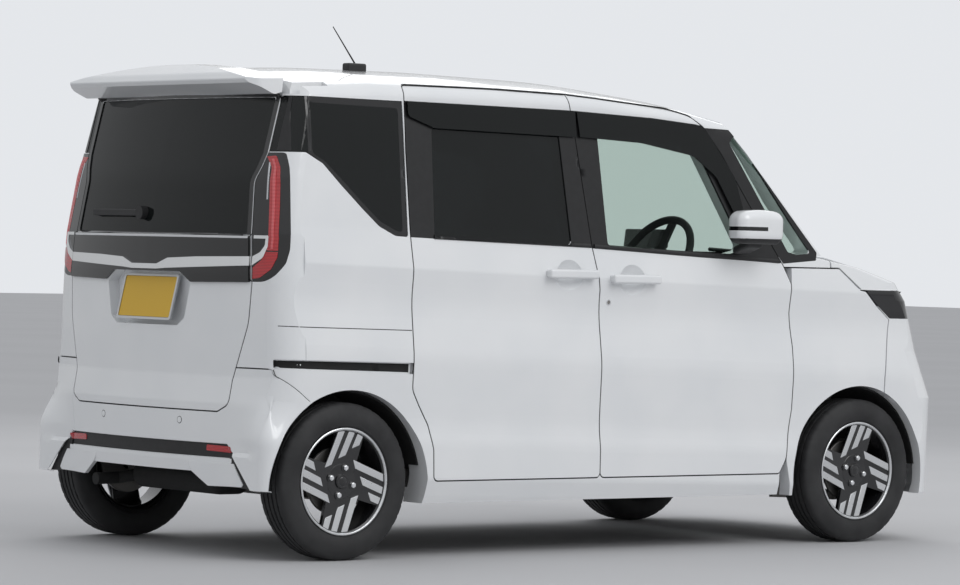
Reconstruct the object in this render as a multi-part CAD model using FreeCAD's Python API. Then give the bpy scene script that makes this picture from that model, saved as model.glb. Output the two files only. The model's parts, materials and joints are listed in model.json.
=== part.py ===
import FreeCAD
import Part
import math
import os

# A small, tall five-door passenger car. Millimetres. +Z is up, the front faces -Y and the
# vehicle's right side is -X. The origin is on the ground, in the middle of the car's box.

DOC = FreeCAD.newDocument("tall_small_car")
V = FreeCAD.Vector

# Driving sizes

SIZES = [
    ("body_half_width", 737.5),
    ("front_end", 1755.0),
    ("rear_end", 1640.0),
    ("roof_height", 1758.0),
    ("origin_shift", 57.5),
    ("wheel_base", 2495.0),
    ("wheel_middle", 647.0),
    ("tyre_radius", 278.5),
    ("tyre_width", 155.0),
    ("rim_radius", 184.0),
    ("rim_width", 128.0),
    ("lug_circle", 100.0),
    ("arch_radius", 347.0),
    ("sill_height", 195.0),
    ("floor_height", 330.0),
    ("door_wall", 55.0),
    ("frame_wall", 105.0),
    ("skin_wall", 55.0),
    ("roof_wall", 30.0),
    ("bonnet_wall", 30.0),
    ("gate_wall", 55.0),
    ("bay_depth", 44.0),
    ("shut_gap", 5.0),
    ("seat_gap", 0.3),
    ("glass_inset", 4.0),
    ("glass_wall", 4.0),
    ("visor_stand", 12.0),
    ("rail_depth", 16.0),
    ("steering_wheel_radius", 180.0),
    ("disc_radius", 118.0),
    ("ball_radius", 16.0),
    ("seat_width", 500.0),
    ("antenna_length", 175.0),
]

sheet = DOC.addObject("Spreadsheet::Sheet", "sizes")
for row, (alias, value) in enumerate(SIZES, start=1):
    sheet.set("A%d" % row, alias)
    sheet.set("B%d" % row, str(value))
    sheet.setAlias("B%d" % row, alias)
DOC.recompute()


def size(alias):
    return float(sheet.get(alias))


HALF = size("body_half_width")
FRONT = size("front_end")
REAR = size("rear_end")
ROOF = size("roof_height")
SHIFT = size("origin_shift")
AXLE = size("wheel_base") / 2
TRACK = size("wheel_middle")
TYRE = size("tyre_radius")
GAP = size("shut_gap")
SEAT = size("seat_gap")
ARCH = size("arch_radius")
SILL = size("sill_height")
FLOOR = size("floor_height")

# Outline helpers: points are (a, b, corner radius); the radius may be left out


def outline(points):
    corners = []
    count = len(points)
    for i in range(count):
        here = V(points[i][0], points[i][1], 0)
        radius = points[i][2] if len(points[i]) > 2 else 0
        if radius <= 0:
            corners.append((here, here, here))
            continue
        back = V(points[i - 1][0], points[i - 1][1], 0) - here
        ahead = V(points[(i + 1) % count][0], points[(i + 1) % count][1], 0) - here
        room = min(back.Length, ahead.Length) * 0.48
        back.normalize()
        ahead.normalize()
        middle = back + ahead
        if middle.Length < 1e-3:
            corners.append((here, here, here))
            continue
        half = math.acos(max(-1.0, min(1.0, back.dot(ahead)))) / 2
        cut = min(radius / math.tan(half), room)
        radius = cut * math.tan(half)
        middle.normalize()
        crest = here + middle * (radius / math.sin(half) - radius)
        corners.append((here + back * cut, crest, here + ahead * cut))
    edges = []
    for i in range(count):
        start, crest, end = corners[i]
        if start.distanceToPoint(end) > 1e-6:
            edges.append(Part.Arc(start, crest, end).toShape())
        follow = corners[(i + 1) % count][0]
        if end.distanceToPoint(follow) > 1e-6:
            edges.append(Part.makeLine(end, follow))
    return Part.Wire(edges)


def spread(points, grow):
    # the same outline with each side moved outwards by grow
    count = len(points)
    area = sum(points[i - 1][0] * points[i][1] - points[i][0] * points[i - 1][1] for i in range(count))
    turn = 1.0 if area > 0 else -1.0
    moved = []
    for i in range(count):
        x, y = points[i][0], points[i][1]
        radius = points[i][2] if len(points[i]) > 2 else 0
        bx, by = x - points[i - 1][0], y - points[i - 1][1]
        ax, ay = points[(i + 1) % count][0] - x, points[(i + 1) % count][1] - y
        bl, al = math.hypot(bx, by), math.hypot(ax, ay)
        nbx, nby = turn * by / bl, -turn * bx / bl
        nax, nay = turn * ay / al, -turn * ax / al
        share = 1 + nbx * nax + nby * nay
        mx, my = (nbx + nax) / share, (nby + nay) / share
        convex = turn * (bx * ay - by * ax) > 0
        if radius > 0:
            radius = max(radius + (grow if convex else -grow), 0.5)
        moved.append((x + mx * grow, y + my * grow, radius))
    return moved


def flat(points, grow=0.0):
    points = spread(points, grow) if abs(grow) > 1e-6 else points
    face = Part.Face(outline(points))
    if face.normalAt(0, 0).z < 0:
        face = Part.Face(outline(list(reversed(points))))
    return face


def prism(axis, points, low, high, grow=0.0):
    # a flat outline pushed along X (outline in Y, Z), Y (X, Z) or Z (X, Y)
    face = flat(points, grow)
    if axis == "x":
        face.rotate(V(0, 0, 0), V(1, 1, 1), 120)
        face.translate(V(low, 0, 0))
        return face.extrude(V(high - low, 0, 0))
    if axis == "y":
        face.rotate(V(0, 0, 0), V(1, 0, 0), 90)
        face.translate(V(0, low, 0))
        return face.extrude(V(0, high - low, 0))
    face.translate(V(0, 0, low))
    return face.extrude(V(0, 0, high - low))


def block(x0, x1, y0, y1, z0, z1):
    return Part.makeBox(x1 - x0, y1 - y0, z1 - z0, V(x0, y0, z0))


def rod(start, end, radius):
    a = V(*start)
    b = V(*end)
    return Part.makeCylinder(radius, a.distanceToPoint(b), a, b - a)


def tube_path(points, radius):
    # a round bar through the points, with a ball at each bend
    shape = rod(points[0], points[1], radius)
    for i in range(1, len(points) - 1):
        shape = shape.fuse(Part.makeSphere(radius, V(*points[i])))
        shape = shape.fuse(rod(points[i], points[i + 1], radius))
    return shape


def softened(shape, radius, test=None):
    edges = [e for e in shape.Edges if test is None or test(e)]
    return shape.makeFillet(radius, edges)


def mirrored(shape):
    return shape.mirror(V(0, 0, 0), V(1, 0, 0))


def both(shape):
    return [shape, mirrored(shape)]


# The body's outer form: a side section pushed lengthwise, a crowned roof, a nose, a
# windscreen and a tail, each turned about a far axis, all able to be set inwards


SIDE = [(47, 120), (19, 200, 60), (0.5, 262, 60), (0, 385, 260), (10.5, 460, 500), (6.5, 560, 500),
        (-0.5, 690, 350), (26.5, 890, 500), (14.5, 1006, 40), (35.5, 1143, 500), (72.5, 1500, 1500),
        (96.5, 1700), (108.5, 1830)]
SIDE_RISE = 0.028
NOSE = [(40, -100), (40, 150), (10, 190, 20), (0, 260, 60), (0, 560, 160), (80, 745, 300), (114, 826, 300),
        (146, 940, 60), (205, 1012, 70), (400, 1068, 900), (575, 1104, 0), (1000, 1135)]
NOSE_TURN = 3000.0
SCREEN = [(-1195, 500), (-1195, 1055), (-698, 1585, 900), (-642, 1652, 100), (-560, 1900)]
SCREEN_TURN = 2400.0
ROOF_LINE = [(-2500, 480), (-700, 104, 300), (-350, 45, 1200), (60, 8, 3000), (620, -1, 4000), (1100, 4, 3000),
             (1640, 34, 800), (2500, 90)]
ROOF_TURN = 3000.0
TAIL = [(60, -100), (60, 150), (28, 180, 20), (10, 268, 60), (0, 340, 40), (0, 545, 30), (16, 640, 60),
        (20, 1000, 400), (28, 1135, 500), (58, 1340, 800), (128, 1625, 500), (190, 1850)]
TAIL_TURN = 2900.0


def turned_up(points, middle, inset):
    # points (distance from the axis, height) turned about a vertical axis at Y = middle
    face = flat([(-inset, points[0][1])] + points + [(-inset, points[-1][1])], -inset)
    face.rotate(V(0, 0, 0), V(1, 0, 0), 90)
    solid = face.revolve(V(0, 0, 0), V(0, 0, 1), 360)
    solid.translate(V(0, middle, 0))
    return solid


def side_form(inset):
    # the right half's section, from the middle plane outwards
    right = [(-(HALF - p[0]), p[1]) + tuple(p[2:]) for p in SIDE]
    bottom, top = SIDE[0][1], SIDE[-1][1]
    face = flat([(inset, bottom)] + right + [(inset, top)], -inset)
    face.rotate(V(0, 0, 0), V(1, 0, 0), 90)
    face.translate(V(0, -2500, -2590 * SIDE_RISE))
    return face.extrude(V(0, 5000, 5000 * SIDE_RISE))


def nose_form(inset):
    middle = NOSE_TURN - FRONT
    points = [(NOSE_TURN - p[0],) + tuple(p[1:]) for p in NOSE]
    return turned_up(points, middle, inset)


def screen_form(inset):
    middle = SCREEN_TURN - 1165
    points = [(middle - p[0],) + tuple(p[1:]) for p in SCREEN]
    return turned_up(points, middle, inset)


def tail_form(inset):
    middle = REAR - TAIL_TURN
    points = [(TAIL_TURN - p[0],) + tuple(p[1:]) for p in TAIL]
    return turned_up(points, middle, inset)


def roof_form(inset):
    low = ROOF - ROOF_TURN
    points = [(-2500, -inset)] + [(p[0], ROOF_TURN - p[1]) + tuple(p[2:]) for p in ROOF_LINE]
    points = points + [(2500, -inset)]
    face = flat(points, -inset)
    face.rotate(V(0, 0, 0), V(1, 1, 1), 120)
    solid = face.revolve(V(0, 0, 0), V(0, 1, 0), 360)
    solid.translate(V(0, 0, low))
    return solid


# Softened corners: where two faces of the form meet, a wedge is cut away down to an arc that
# touches both. Each station has the arc's middle, the outward directions of the two faces and
# the arc's radius, and the wedge runs straight from one station to the next.

REAR_CORNER = [(-120, 110), (340, 115), (545, 115), (690, 110), (1000, 105), (1143, 100), (1340, 95), (1625, 80), (1850, 80)]
FRONT_CORNER = [(-120, 140), (190, 140), (560, 140), (745, 130), (940, 110), (1012, 90), (1068, 70), (1110, 60)]
ROOF_EDGE = [(-900, 55), (-350, 55), (60, 60), (620, 60), (1100, 60), (1900, 60)]


def depth_at(profile, height):
    for low, high in zip(profile, profile[1:]):
        if height <= high[1]:
            break
    share = (height - low[1]) / (high[1] - low[1])
    return low[0] + (high[0] - low[0]) * share


def side_at(y, z):
    height = z - SIDE_RISE * (y - 90)
    return HALF - depth_at(SIDE, height), (depth_at(SIDE, height + 5) - depth_at(SIDE, height - 5)) / 10


def corner_station(profile, turn, reach, z, radius, sense):
    # a level section through the corner between the side and a face turned about a vertical axis
    axis = sense * (reach - turn)
    across = radius - side_at(sense * reach, z)[0]
    span = turn - depth_at(profile, z) - radius
    along_y = sense * math.sqrt(span * span - across * across)
    return V(across, axis + along_y, z), V(-1, 0, 0), V(across / span, along_y / span, 0)


def roof_station(y, radius):
    # a cross section through the edge between the side and the crowned roof
    axis = ROOF - ROOF_TURN
    span = ROOF_TURN - depth_at([(p[1], p[0]) for p in ROOF_LINE], y) - radius
    across, height = -600.0, ROOF - 150.0
    for _ in range(12):
        out, slope = side_at(y, height)
        lean = math.atan(slope)
        across = radius * math.cos(lean) - side_at(y, height + radius * math.sin(lean))[0]
        height = axis + math.sqrt(span * span - across * across)
    first = V(-math.cos(lean), 0, math.sin(lean))
    return V(across, y, height), first, V(across / span, 0, (height - axis) / span)


def wedge_wire(middle, first, second, radius):
    between = first + second
    between.normalize()
    reach = radius / between.dot(first) + 60
    start, end = middle + first * radius, middle + second * radius
    corners = [start, start + first * 60, middle + between * reach, end + second * 60, end]
    edges = [Part.makeLine(a, b) for a, b in zip(corners, corners[1:])]
    edges.append(Part.Arc(end, middle + between * radius, start).toShape())
    return Part.Wire(edges)


def wedge(stations, radii, inset):
    wires = [wedge_wire(*station, radius - inset) for station, radius in zip(stations, radii)]
    return Part.makeLoft(wires, True, True)


def hull(inset):
    cabin = side_form(inset).common(tail_form(inset)).common(roof_form(inset))
    back = cabin.common(screen_form(inset))
    lower = cabin.common(nose_form(inset))
    form = back.fuse(lower).removeSplitter()
    corners = [
        ([corner_station(TAIL, TAIL_TURN, REAR, z, radius, 1) for z, radius in REAR_CORNER], REAR_CORNER),
        ([corner_station(NOSE, NOSE_TURN, FRONT, z, radius, -1) for z, radius in FRONT_CORNER], FRONT_CORNER),
        ([roof_station(y, radius) for y, radius in ROOF_EDGE], ROOF_EDGE)]
    for stations, table in corners:
        radii = [row[1] for row in table]
        if inset < min(radii) - 5:
            form = form.cut(wedge(stations, radii, inset))
    return form


OUTER = hull(0)
INNER = {}


def inside(depth):
    if depth not in INNER:
        INNER[depth] = hull(depth)
    return INNER[depth]


def skin(region, depth, top=0.0):
    # the right half of the body form within a region, from one depth to a larger one
    start = OUTER if top == 0 else inside(top)
    return start.common(region).cut(inside(depth))


def whole(half):
    # a right half and its mirror image joined on the middle plane
    return half.fuse(mirrored(half)).removeSplitter()


import time
T0 = time.time()
PIECES = []


def piece(name, shape, material):
    # a document object with the piece's own label, set lengthwise into the car's frame
    solids = shape if isinstance(shape, list) else shape.Solids
    solids = [one for part in solids for one in part.Solids]
    whole = solids[0] if len(solids) == 1 else Part.makeCompound(solids)
    thing = DOC.addObject("Part::Feature", name)
    thing.Label = name
    thing.Shape = whole
    thing.Placement = FreeCAD.Placement(V(0, SHIFT, 0), FreeCAD.Rotation()).multiply(whole.Placement)
    PIECES.append(thing)
    print(round(time.time() - T0, 1), name)
    return whole


# Shut lines and openings, right side, in (Y, Z)

FRONT_DOOR = [(-813, 275, 20), (-846, 330, 60), (-875, 520), (-877, 759), (-864, 890), (-869, 1001, 20),
              (-832, 1073), (-802, 1114), (-664, 1309), (-543, 1484), (-458, 1586, 60), (-391, 1630, 60),
              (-277, 1654, 200), (-50, 1668, 200), (208, 1685), (125, 1124), (93, 966, 60), (88, 275, 20)]
SLIDE_DOOR = [(88, 275, 20), (93, 966, 60), (125, 1124), (208, 1685), (520, 1690, 300), (974, 1688, 20),
              (978, 1452), (972, 1143), (966, 1000), (968, 601, 60), (938, 548, 60), (893, 476, 90),
              (870, 387, 60), (866, 275, 20)]
FRONT_PANE = [(78, 1540, 20), (48, 1128, 20), (-560, 1110, 30), (-640, 1128, 20), (-560, 1262, 60),
              (-430, 1480, 60), (-350, 1540, 60)]
SLIDE_PANE = [(858, 1540, 20), (864, 1140, 20), (222, 1128, 20), (262, 1538, 20)]
CORNER_PANE = [(-583, 1530, 10), (-612, 1560, 10), (-700, 1462), (-880, 1240), (-985, 1118, 12), (-905, 1112, 10),
               (-862, 1122), (-735, 1305)]
QUARTER_PANE = [(1474, 1612, 12), (1000, 1606, 12), (1000, 1150, 20), (1034, 1158, 40), (1102, 1190, 60),
                (1170, 1248, 60), (1261, 1330, 60), (1340, 1405, 50), (1416, 1436, 50), (1460, 1444, 10)]
QUARTER_GLASS = [(2500, 1632), (984, 1626), (982, 1143, 10), (1040, 1146, 40), (1110, 1178, 60), (1180, 1237, 60),
                 (1271, 1319, 60), (1348, 1393, 50), (1420, 1430), (2500, 1430)]
REAR_LAMP_SIDE = [(2500, 1427), (1479, 1427, 8), (1477, 1376, 30), (1485, 1249, 200), (1495, 1089, 100), (1508, 1041, 40),
                  (1534, 1000, 40), (1553, 974, 10), (2500, 974)]
RAIL_SLOT = [(900, 655), (968, 657), (1540, 674, 6), (1540, 707, 6), (1415, 706), (975, 697), (900, 695)]
BONNET_SIDE = [(-2500, 985), (-1242, 985, 10), (-1131, 1067, 20), (-1000, 1067), (-1000, 2000),
               (-2500, 2000)]
HEAD_LAMP_SIDE = [(-2500, 981), (-1262, 981, 6), (-1330, 924, 30), (-1402, 872, 20), (-2500, 862)]
WHEEL_AXES = (-AXLE, AXLE)
ARCH_MIDDLES = ((-AXLE + 14, 262.0), (AXLE - 8, 254.0))


def side_prism(points, grow=0.0, low=None, high=None):
    return prism("x", points, -900 if low is None else low, -580 if high is None else high, grow)


def arch_cut(index, radius, low=-900, high=-330):
    y, z = ARCH_MIDDLES[index]
    return rod((low, y, z), (high, y, z), radius)


# Body shell

shell_bounds = block(-900, -600 - SEAT, -1300, 2000, SILL, 1900)
rear_bounds = block(-601, -440, 1440 + SEAT, 2000, 640, 1640)
shell_bounds = shell_bounds.fuse(rear_bounds)

side = skin(shell_bounds, size("frame_wall"))
for door in (FRONT_DOOR, SLIDE_DOOR):
    side = side.cut(side_prism(door, GAP / 2).cut(inside(size("skin_wall"))))
    side = side.cut(side_prism(door, -38))
for index in (0, 1):
    side = side.cut(arch_cut(index, ARCH))
below_bonnet = side_prism([(-2500, -50), (-2500, 2000), (-1150, 2000), (-1150, 1066), (-832, 1066), (-869, 1001, 20), (-864, 890), (-877, 759), (-875, 520),
                           (-846, 330, 60), (-813, 275), (-813, -50)])
side = side.cut(below_bonnet)
side = side.cut(side_prism(QUARTER_PANE)).cut(side_prism(CORNER_PANE))
glass_bed = inside(size("glass_inset") + size("glass_wall") + SEAT)
side = side.cut(side_prism(QUARTER_GLASS, SEAT, -900, -300).cut(glass_bed))
lamp_prism = side_prism(REAR_LAMP_SIDE, SEAT, -900, -300)
side = side.cut(lamp_prism)
side = side.cut(side_prism(RAIL_SLOT).cut(inside(size("rail_depth"))))
SCREEN_PANE = [(-628, 1118, 30), (-560, 1600, 60), (560, 1600, 60), (628, 1118, 30)]
side = side.cut(prism("y", SCREEN_PANE, -1500, -350))
cowl_edge = SCREEN_TURN + 22
cowl_middle = SCREEN_TURN - 1165
side = side.cut(block(-900, 0, -2500, -1000, 1066, 2000).cut(rod((0, cowl_middle, 900), (0, cowl_middle, 2100), cowl_edge)))

# the tailgate's edge on the rear face, in (X, Z), right half then mirrored
GATE_EDGE = [(-627, 1760), (-627, 1640), (-566, 1640), (-566, 1424, 6), (-553, 1376, 80), (-531, 1327, 60),
             (-550, 1166, 300), (-568, 972, 6), (-558, 830, 200), (-492, 633, 80), (-491, 544, 30), (-439, 518, 20)]


def gate_outline(extra=()):
    right = [tuple(p) for p in GATE_EDGE]
    left = [(-p[0],) + tuple(p[1:]) for p in reversed(right)]
    return right + left


gate_prism = prism("y", gate_outline(), 1300, 2500)
gate_hole = prism("y", gate_outline(), 1300, 2500, GAP)
gate_throat = prism("y", gate_outline(), 1200, 2500, -40)
side = side.cut(gate_hole.cut(inside(size("frame_wall")))).cut(gate_throat)
BUMPER_LINE = [(2500, -50), (2500, 672), (1545, 672, 6), (1541, 650, 12), (1426, 566, 30), (1388, 541, 10), (1388, -50)]
side = side.cut(side_prism(BUMPER_LINE, GAP / 2, -900, -300))
right_side = piece("side_frame_right", side, "body")
piece("side_frame_left", mirrored(side), "body")

# Roof: a crowned skin between the side frames, with a header at the windscreen and the tailgate

roof_bounds = block(-600, 600, -700, 1440, 1560, 1900)
roof = skin(roof_bounds, size("roof_wall"))
screen_prism = prism("y", SCREEN_PANE, -1500, -350)
roof = roof.cut(screen_prism)
roof = roof.fuse(skin(block(-600, 0, 1440 - 60, 1440, 1600, 1900), size("frame_wall"), size("roof_wall")))
GATE_PIN = (1436, 1722)
roof = roof.cut(block(-342, -319.7, 1424, 1500, 1690, 1800))
piece("roof_panel", whole(roof), "body")

# Windscreen and fixed side glass, and the cowl below the windscreen

glass_top = size("glass_inset")
glass_low = glass_top + size("glass_wall")


def pane(prism_shape, shrink_prism=None):
    return inside(glass_top).common(prism_shape).cut(inside(glass_low))


screen_glass = pane(prism("y", SCREEN_PANE, -1500, -350, -SEAT))
piece("windscreen", whole(screen_glass), "glass")
quarter_glass = pane(side_prism(QUARTER_GLASS, 0, -900, -300)).cut(gate_hole)
quarter_glass = quarter_glass.cut(block(-600 - SEAT, -300, 900, 1440 + SEAT, 1500, 1900))
fixed = quarter_glass, pane(side_prism(CORNER_PANE, -SEAT))
piece("fixed_side_glass", [one for part in fixed for one in both(part)], "dark_glass")
cowl = skin(block(-600, 600, -1300, -1000, 1000, 1200), size("skin_wall"))
cowl = cowl.cut(prism("y", SCREEN_PANE, -1500, -350))
cowl = cowl.common(rod((0, cowl_middle, 900), (0, cowl_middle, 1300), cowl_edge))
BONNET_PIN = (-1100, 1096)
cowl = cowl.cut(block(-563, -545.7, -1300, BONNET_PIN[0] + 12, 900, 1300))
piece("cowl", whole(cowl), "black")

# Front doors

FRONT_HANDLE = (-64, 1008)
SLIDE_HANDLE = (242, 1023)
SIDE_AT_HANDLE = 716.0


def handle(shape, y, z):
    # a bar 34 mm clear of the panel on two feet over a round dish
    dish = Part.makeSphere(105, V(-SIDE_AT_HANDLE - 88, y, z))
    shape = shape.cut(dish)
    bar = block(-SIDE_AT_HANDLE - 40, -SIDE_AT_HANDLE - 20, y - 116, y + 116, z - 17, z + 17)
    bar = softened(bar, 9)
    for foot in (y - 96, y + 96):
        bar = bar.fuse(softened(block(-SIDE_AT_HANDLE - 34, -SIDE_AT_HANDLE + 14, foot - 16, foot + 16, z - 14, z + 14), 6))
    return shape.fuse(bar)


def door_panel(points, pane_points, grip):
    panel = skin(side_prism(points, -GAP / 2, -900, -606), size("door_wall"))
    panel = panel.cut(side_prism(pane_points))
    return handle(panel, *grip)


front_door = door_panel(FRONT_DOOR, FRONT_PANE, FRONT_HANDLE)
for index in (0, 1):
    front_door = front_door.cut(arch_cut(index, ARCH))
slide_door = door_panel(SLIDE_DOOR, SLIDE_PANE, SLIDE_HANDLE)
slide_door = slide_door.cut(arch_cut(1, ARCH + 4))
front_pane = pane(side_prism(FRONT_PANE, -SEAT))
slide_pane = pane(side_prism(SLIDE_PANE, -SEAT))
visor_depth = -size("visor_stand")
VISOR_FRONT = [(168, 1527), (178, 1620), (-200, 1608, 200), (-440, 1592, 60), (-458, 1578, 20), (-595, 1400),
               (-640, 1250, 10), (-585, 1262, 10), (-500, 1400, 80), (-390, 1475, 80), (-133, 1515, 300)]
VISOR_SLIDE = [(968, 1574, 20), (968, 1626, 6), (186, 1621, 6), (186, 1526, 6), (850, 1535, 60)]


def visor(points, ledge):
    band = inside(visor_depth).common(side_prism(points)).cut(inside(visor_depth + 3))
    root = inside(visor_depth).common(side_prism(ledge)).cut(OUTER)
    return band.fuse(root).removeSplitter()


LEDGE_FRONT = [(170, 1610), (178, 1620), (-200, 1608, 200), (-430, 1592), (-430, 1584), (-200, 1600, 200)]
LEDGE_SLIDE = [(960, 1617), (968, 1626), (186, 1621), (194, 1612)]
front_visor = visor(VISOR_FRONT, LEDGE_FRONT)
slide_visor = visor(VISOR_SLIDE, LEDGE_SLIDE)

# Mirror: a rounded housing on a foot at the front corner of the pane

mirror_case = softened(block(-905, -752, -655, -550, 1150, 1286), 34)
mirror_foot = softened(block(-775, -700, -640, -575, 1126, 1160), 8)
mirror = mirror_case.fuse(mirror_foot).cut(OUTER)
mirror = mirror.Solids[0]

for side_name, flip in (("right", False), ("left", True)):
    turn = mirrored if flip else (lambda shape: shape)
    piece("front_door_" + side_name, turn(front_door), "body")
    piece("front_door_glass_" + side_name, turn(front_pane), "glass")
    piece("front_door_visor_" + side_name, turn(front_visor), "smoke")
    piece("door_mirror_" + side_name, turn(mirror), "body")
    piece("sliding_door_" + side_name, turn(slide_door), "body")
    piece("sliding_door_glass_" + side_name, turn(slide_pane), "dark_glass")
    piece("sliding_door_visor_" + side_name, turn(slide_visor), "smoke")

# Bonnet, front wings, headlamps, grille and front bumper

front_region = block(-900, 900, -2500, -1040, 500, 1500)
bonnet_form = side_prism(BONNET_SIDE, 0, -900, 900)
bonnet = skin(bonnet_form, size("bonnet_wall"))
bonnet = bonnet.cut(rod((0, cowl_middle, 900), (0, cowl_middle, 1300), cowl_edge + 1.5 * GAP))
ARM_SIDE = [(-1190, 1090), (-1190, 1052), (-1128, 1046), (-1092, 1088), (-1092, 1102), (-1110, 1102), (-1124, 1082)]
arm = prism("x", ARM_SIDE, -559, -551).common(inside(2.0))
bonnet = bonnet.fuse(arm).fuse(rod((-552, *BONNET_PIN), (-546, *BONNET_PIN), 6)).removeSplitter()
piece("bonnet", whole(bonnet), "body")

WING = [(-877, 1061), (-1128, 1061, 20), (-1236, 979, 10), (-1262, 975), (-1326, 919), (-1397, 868),
        (-1361, 640), (-1363, 400), (-1363, 190), (-880, 190), (-848.5, 330, 60), (-877.5, 520), (-879.5, 759),
        (-866.5, 890), (-871.5, 1001, 20)]
wing = skin(side_prism(WING, 0, -900, -600 - SEAT), size("skin_wall"))
wing = wing.cut(arch_cut(0, ARCH))
piece("front_wings", [one for one in both(wing)], "body")

HEAD_LAMP_FRONT = [(-900, 870), (-900, 996), (-400, 996, 20), (-380, 905, 20), (-520, 872, 30)]
lamp_bounds = side_prism(HEAD_LAMP_SIDE, -SEAT, -900, -300).common(prism("y", HEAD_LAMP_FRONT, -2500, -1200))
head_lamp = skin(lamp_bounds, size("skin_wall"))
piece("head_lamps", [one for one in both(head_lamp)], "lamp")

bumper_prism = prism("x", [(-2500, 185), (-2500, 980), (-1262, 980), (-1333, 922), (-1402, 868), (-1367, 640),
                           (-1367, 185)], -900, 900)
front_bumper = skin(bumper_prism, size("skin_wall"))
lamp_hole = side_prism(HEAD_LAMP_SIDE, 0, -900, -300).common(prism("y", HEAD_LAMP_FRONT, -2500, -1200, SEAT))
GRILLE_LOW = [(-430, 300, 30), (-470, 520, 40), (470, 520, 40), (430, 300, 30)]
GRILLE_TOP = [(-385, 820, 20), (-360, 905, 20), (360, 905, 20), (385, 820, 20)]
front_bumper = front_bumper.cut(lamp_hole).cut(arch_cut(0, ARCH))
front_bumper = front_bumper.cut(prism("y", GRILLE_LOW, -2500, -1500)).cut(prism("y", GRILLE_TOP, -2500, -1500))
front_bumper = max(front_bumper.Solids, key=lambda one: one.Volume)
piece("front_bumper", whole(front_bumper), "body")
grille = skin(prism("y", GRILLE_LOW, -2500, -1500, -SEAT), 30, 8)
grille_top = skin(prism("y", GRILLE_TOP, -2500, -1500, -SEAT), 30, 8)
piece("grille", [whole(grille), whole(grille_top)], "black")

# Rear bumper, tail lamps and tailgate

bumper_side = side_prism(BUMPER_LINE, 0, -900, 900).common(block(-900, 900, 1300, 2500, 248, 669.5))
rear_bumper = skin(bumper_side, size("skin_wall"))
rear_bumper = rear_bumper.cut(gate_hole).cut(arch_cut(1, ARCH))
INSET_BAND = [(-491, 405, 8), (-531, 362, 20), (-655, 240), (-618, 240), (-548, 314, 20), (-521, 353, 8),
              (521, 353, 8), (548, 314, 20), (618, 240), (655, 240), (531, 362, 20), (491, 405, 8)]
LOWER_LIP = [(-590, 100), (-590, 248, 10), (-330, 301, 60), (330, 301, 60), (590, 248, 10), (590, 100)]
rear_bumper = rear_bumper.cut(prism("y", INSET_BAND, 1400, 2500).cut(inside(8)))
rear_bumper = rear_bumper.cut(prism("y", LOWER_LIP, 1300, 2500))
piece("rear_bumper", whole(rear_bumper), "body")

gate_side = prism("y", gate_outline(), 1300, 2500)
tail_lamp = skin(side_prism(REAR_LAMP_SIDE, 0, -900, -300).cut(block(-900, -300, 0, 1300, 0, 2000)), size("skin_wall"))
tail_lamp = tail_lamp.cut(gate_hole)
piece("tail_lamps", [one for one in both(tail_lamp)], "lamp")

gate = skin(gate_side.common(block(-900, 900, 1455, 2500, 400, 1900)), size("gate_wall"))
gate = gate.fuse(block(-336, -326, 1429, 1458, 1708, 1727).fuse(rod((-326, *GATE_PIN), (-320, *GATE_PIN), 5)))
GATE_PANE = [(-545, 1622, 10), (-545, 1425, 20), (-532, 1376, 60), (-511, 1327, 60), (-530, 1166, 200), (-532, 1140, 10),
             (532, 1140, 10), (530, 1166, 200), (511, 1327, 60), (532, 1376, 60), (545, 1425, 20), (545, 1622, 10)]
PLATE_BAY = [(-262, 966, 10), (-232, 838, 20), (-192, 811, 20), (192, 811, 20), (232, 838, 20), (262, 966, 10),
             (205, 1003, 10), (-205, 1003, 10)]
gate = gate.cut(prism("y", GATE_PANE, 1300, 2500))
gate = gate.cut(prism("y", PLATE_BAY, 1400, 2500).cut(inside(size("bay_depth"))))
PLATE_BOLT = 105.0
gate = gate.cut(rod((-PLATE_BOLT, 1400, 925), (-PLATE_BOLT, 2500, 925), 3.2))
piece("tailgate", whole(gate), "body")
gate_glass = pane(prism("y", GATE_PANE, 1300, 2500, -SEAT))
piece("tailgate_glass", whole(gate_glass), "dark_glass")

# Spoiler and garnish on the tailgate

SPOILER = [(1456, 1762), (1500, 1756, 60), (1590, 1706, 30), (1604, 1682, 6), (1590, 1668, 6), (1500, 1630, 30),
           (1468, 1640)]
spoiler = prism("x", SPOILER, -600, 600)
crown = roof_form(-14).common(block(-600, 600, 1456, 1700, 1500, 1900))
spoiler = spoiler.common(crown)
spoiler = spoiler.cut(whole(OUTER.common(block(-700, 0, 1300, 1700, 1500, 1850))))
spoiler = spoiler.common(prism("z", [(-596, 1300), (596, 1300), (590, 1560, 40), (540, 1620, 60), (-540, 1620, 60),
                                     (-590, 1560, 40)], 1500, 1900))
spoiler = max(spoiler.Solids, key=lambda one: one.Volume)
piece("tailgate_spoiler", spoiler, "body")

GARNISH = [(-549, 1134), (-564, 972, 6), (-270, 967, 20), (-210, 1003, 20), (0, 1003)]
garnish = prism("y", GARNISH + [(0, 1134)], 1400, 2500, 0).common(inside(-9.0)).cut(OUTER)
garnish = max(garnish.Solids, key=lambda one: one.Volume)
piece("tailgate_garnish", whole(garnish), "black")

# Floor, bulkhead, front structure

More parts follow.
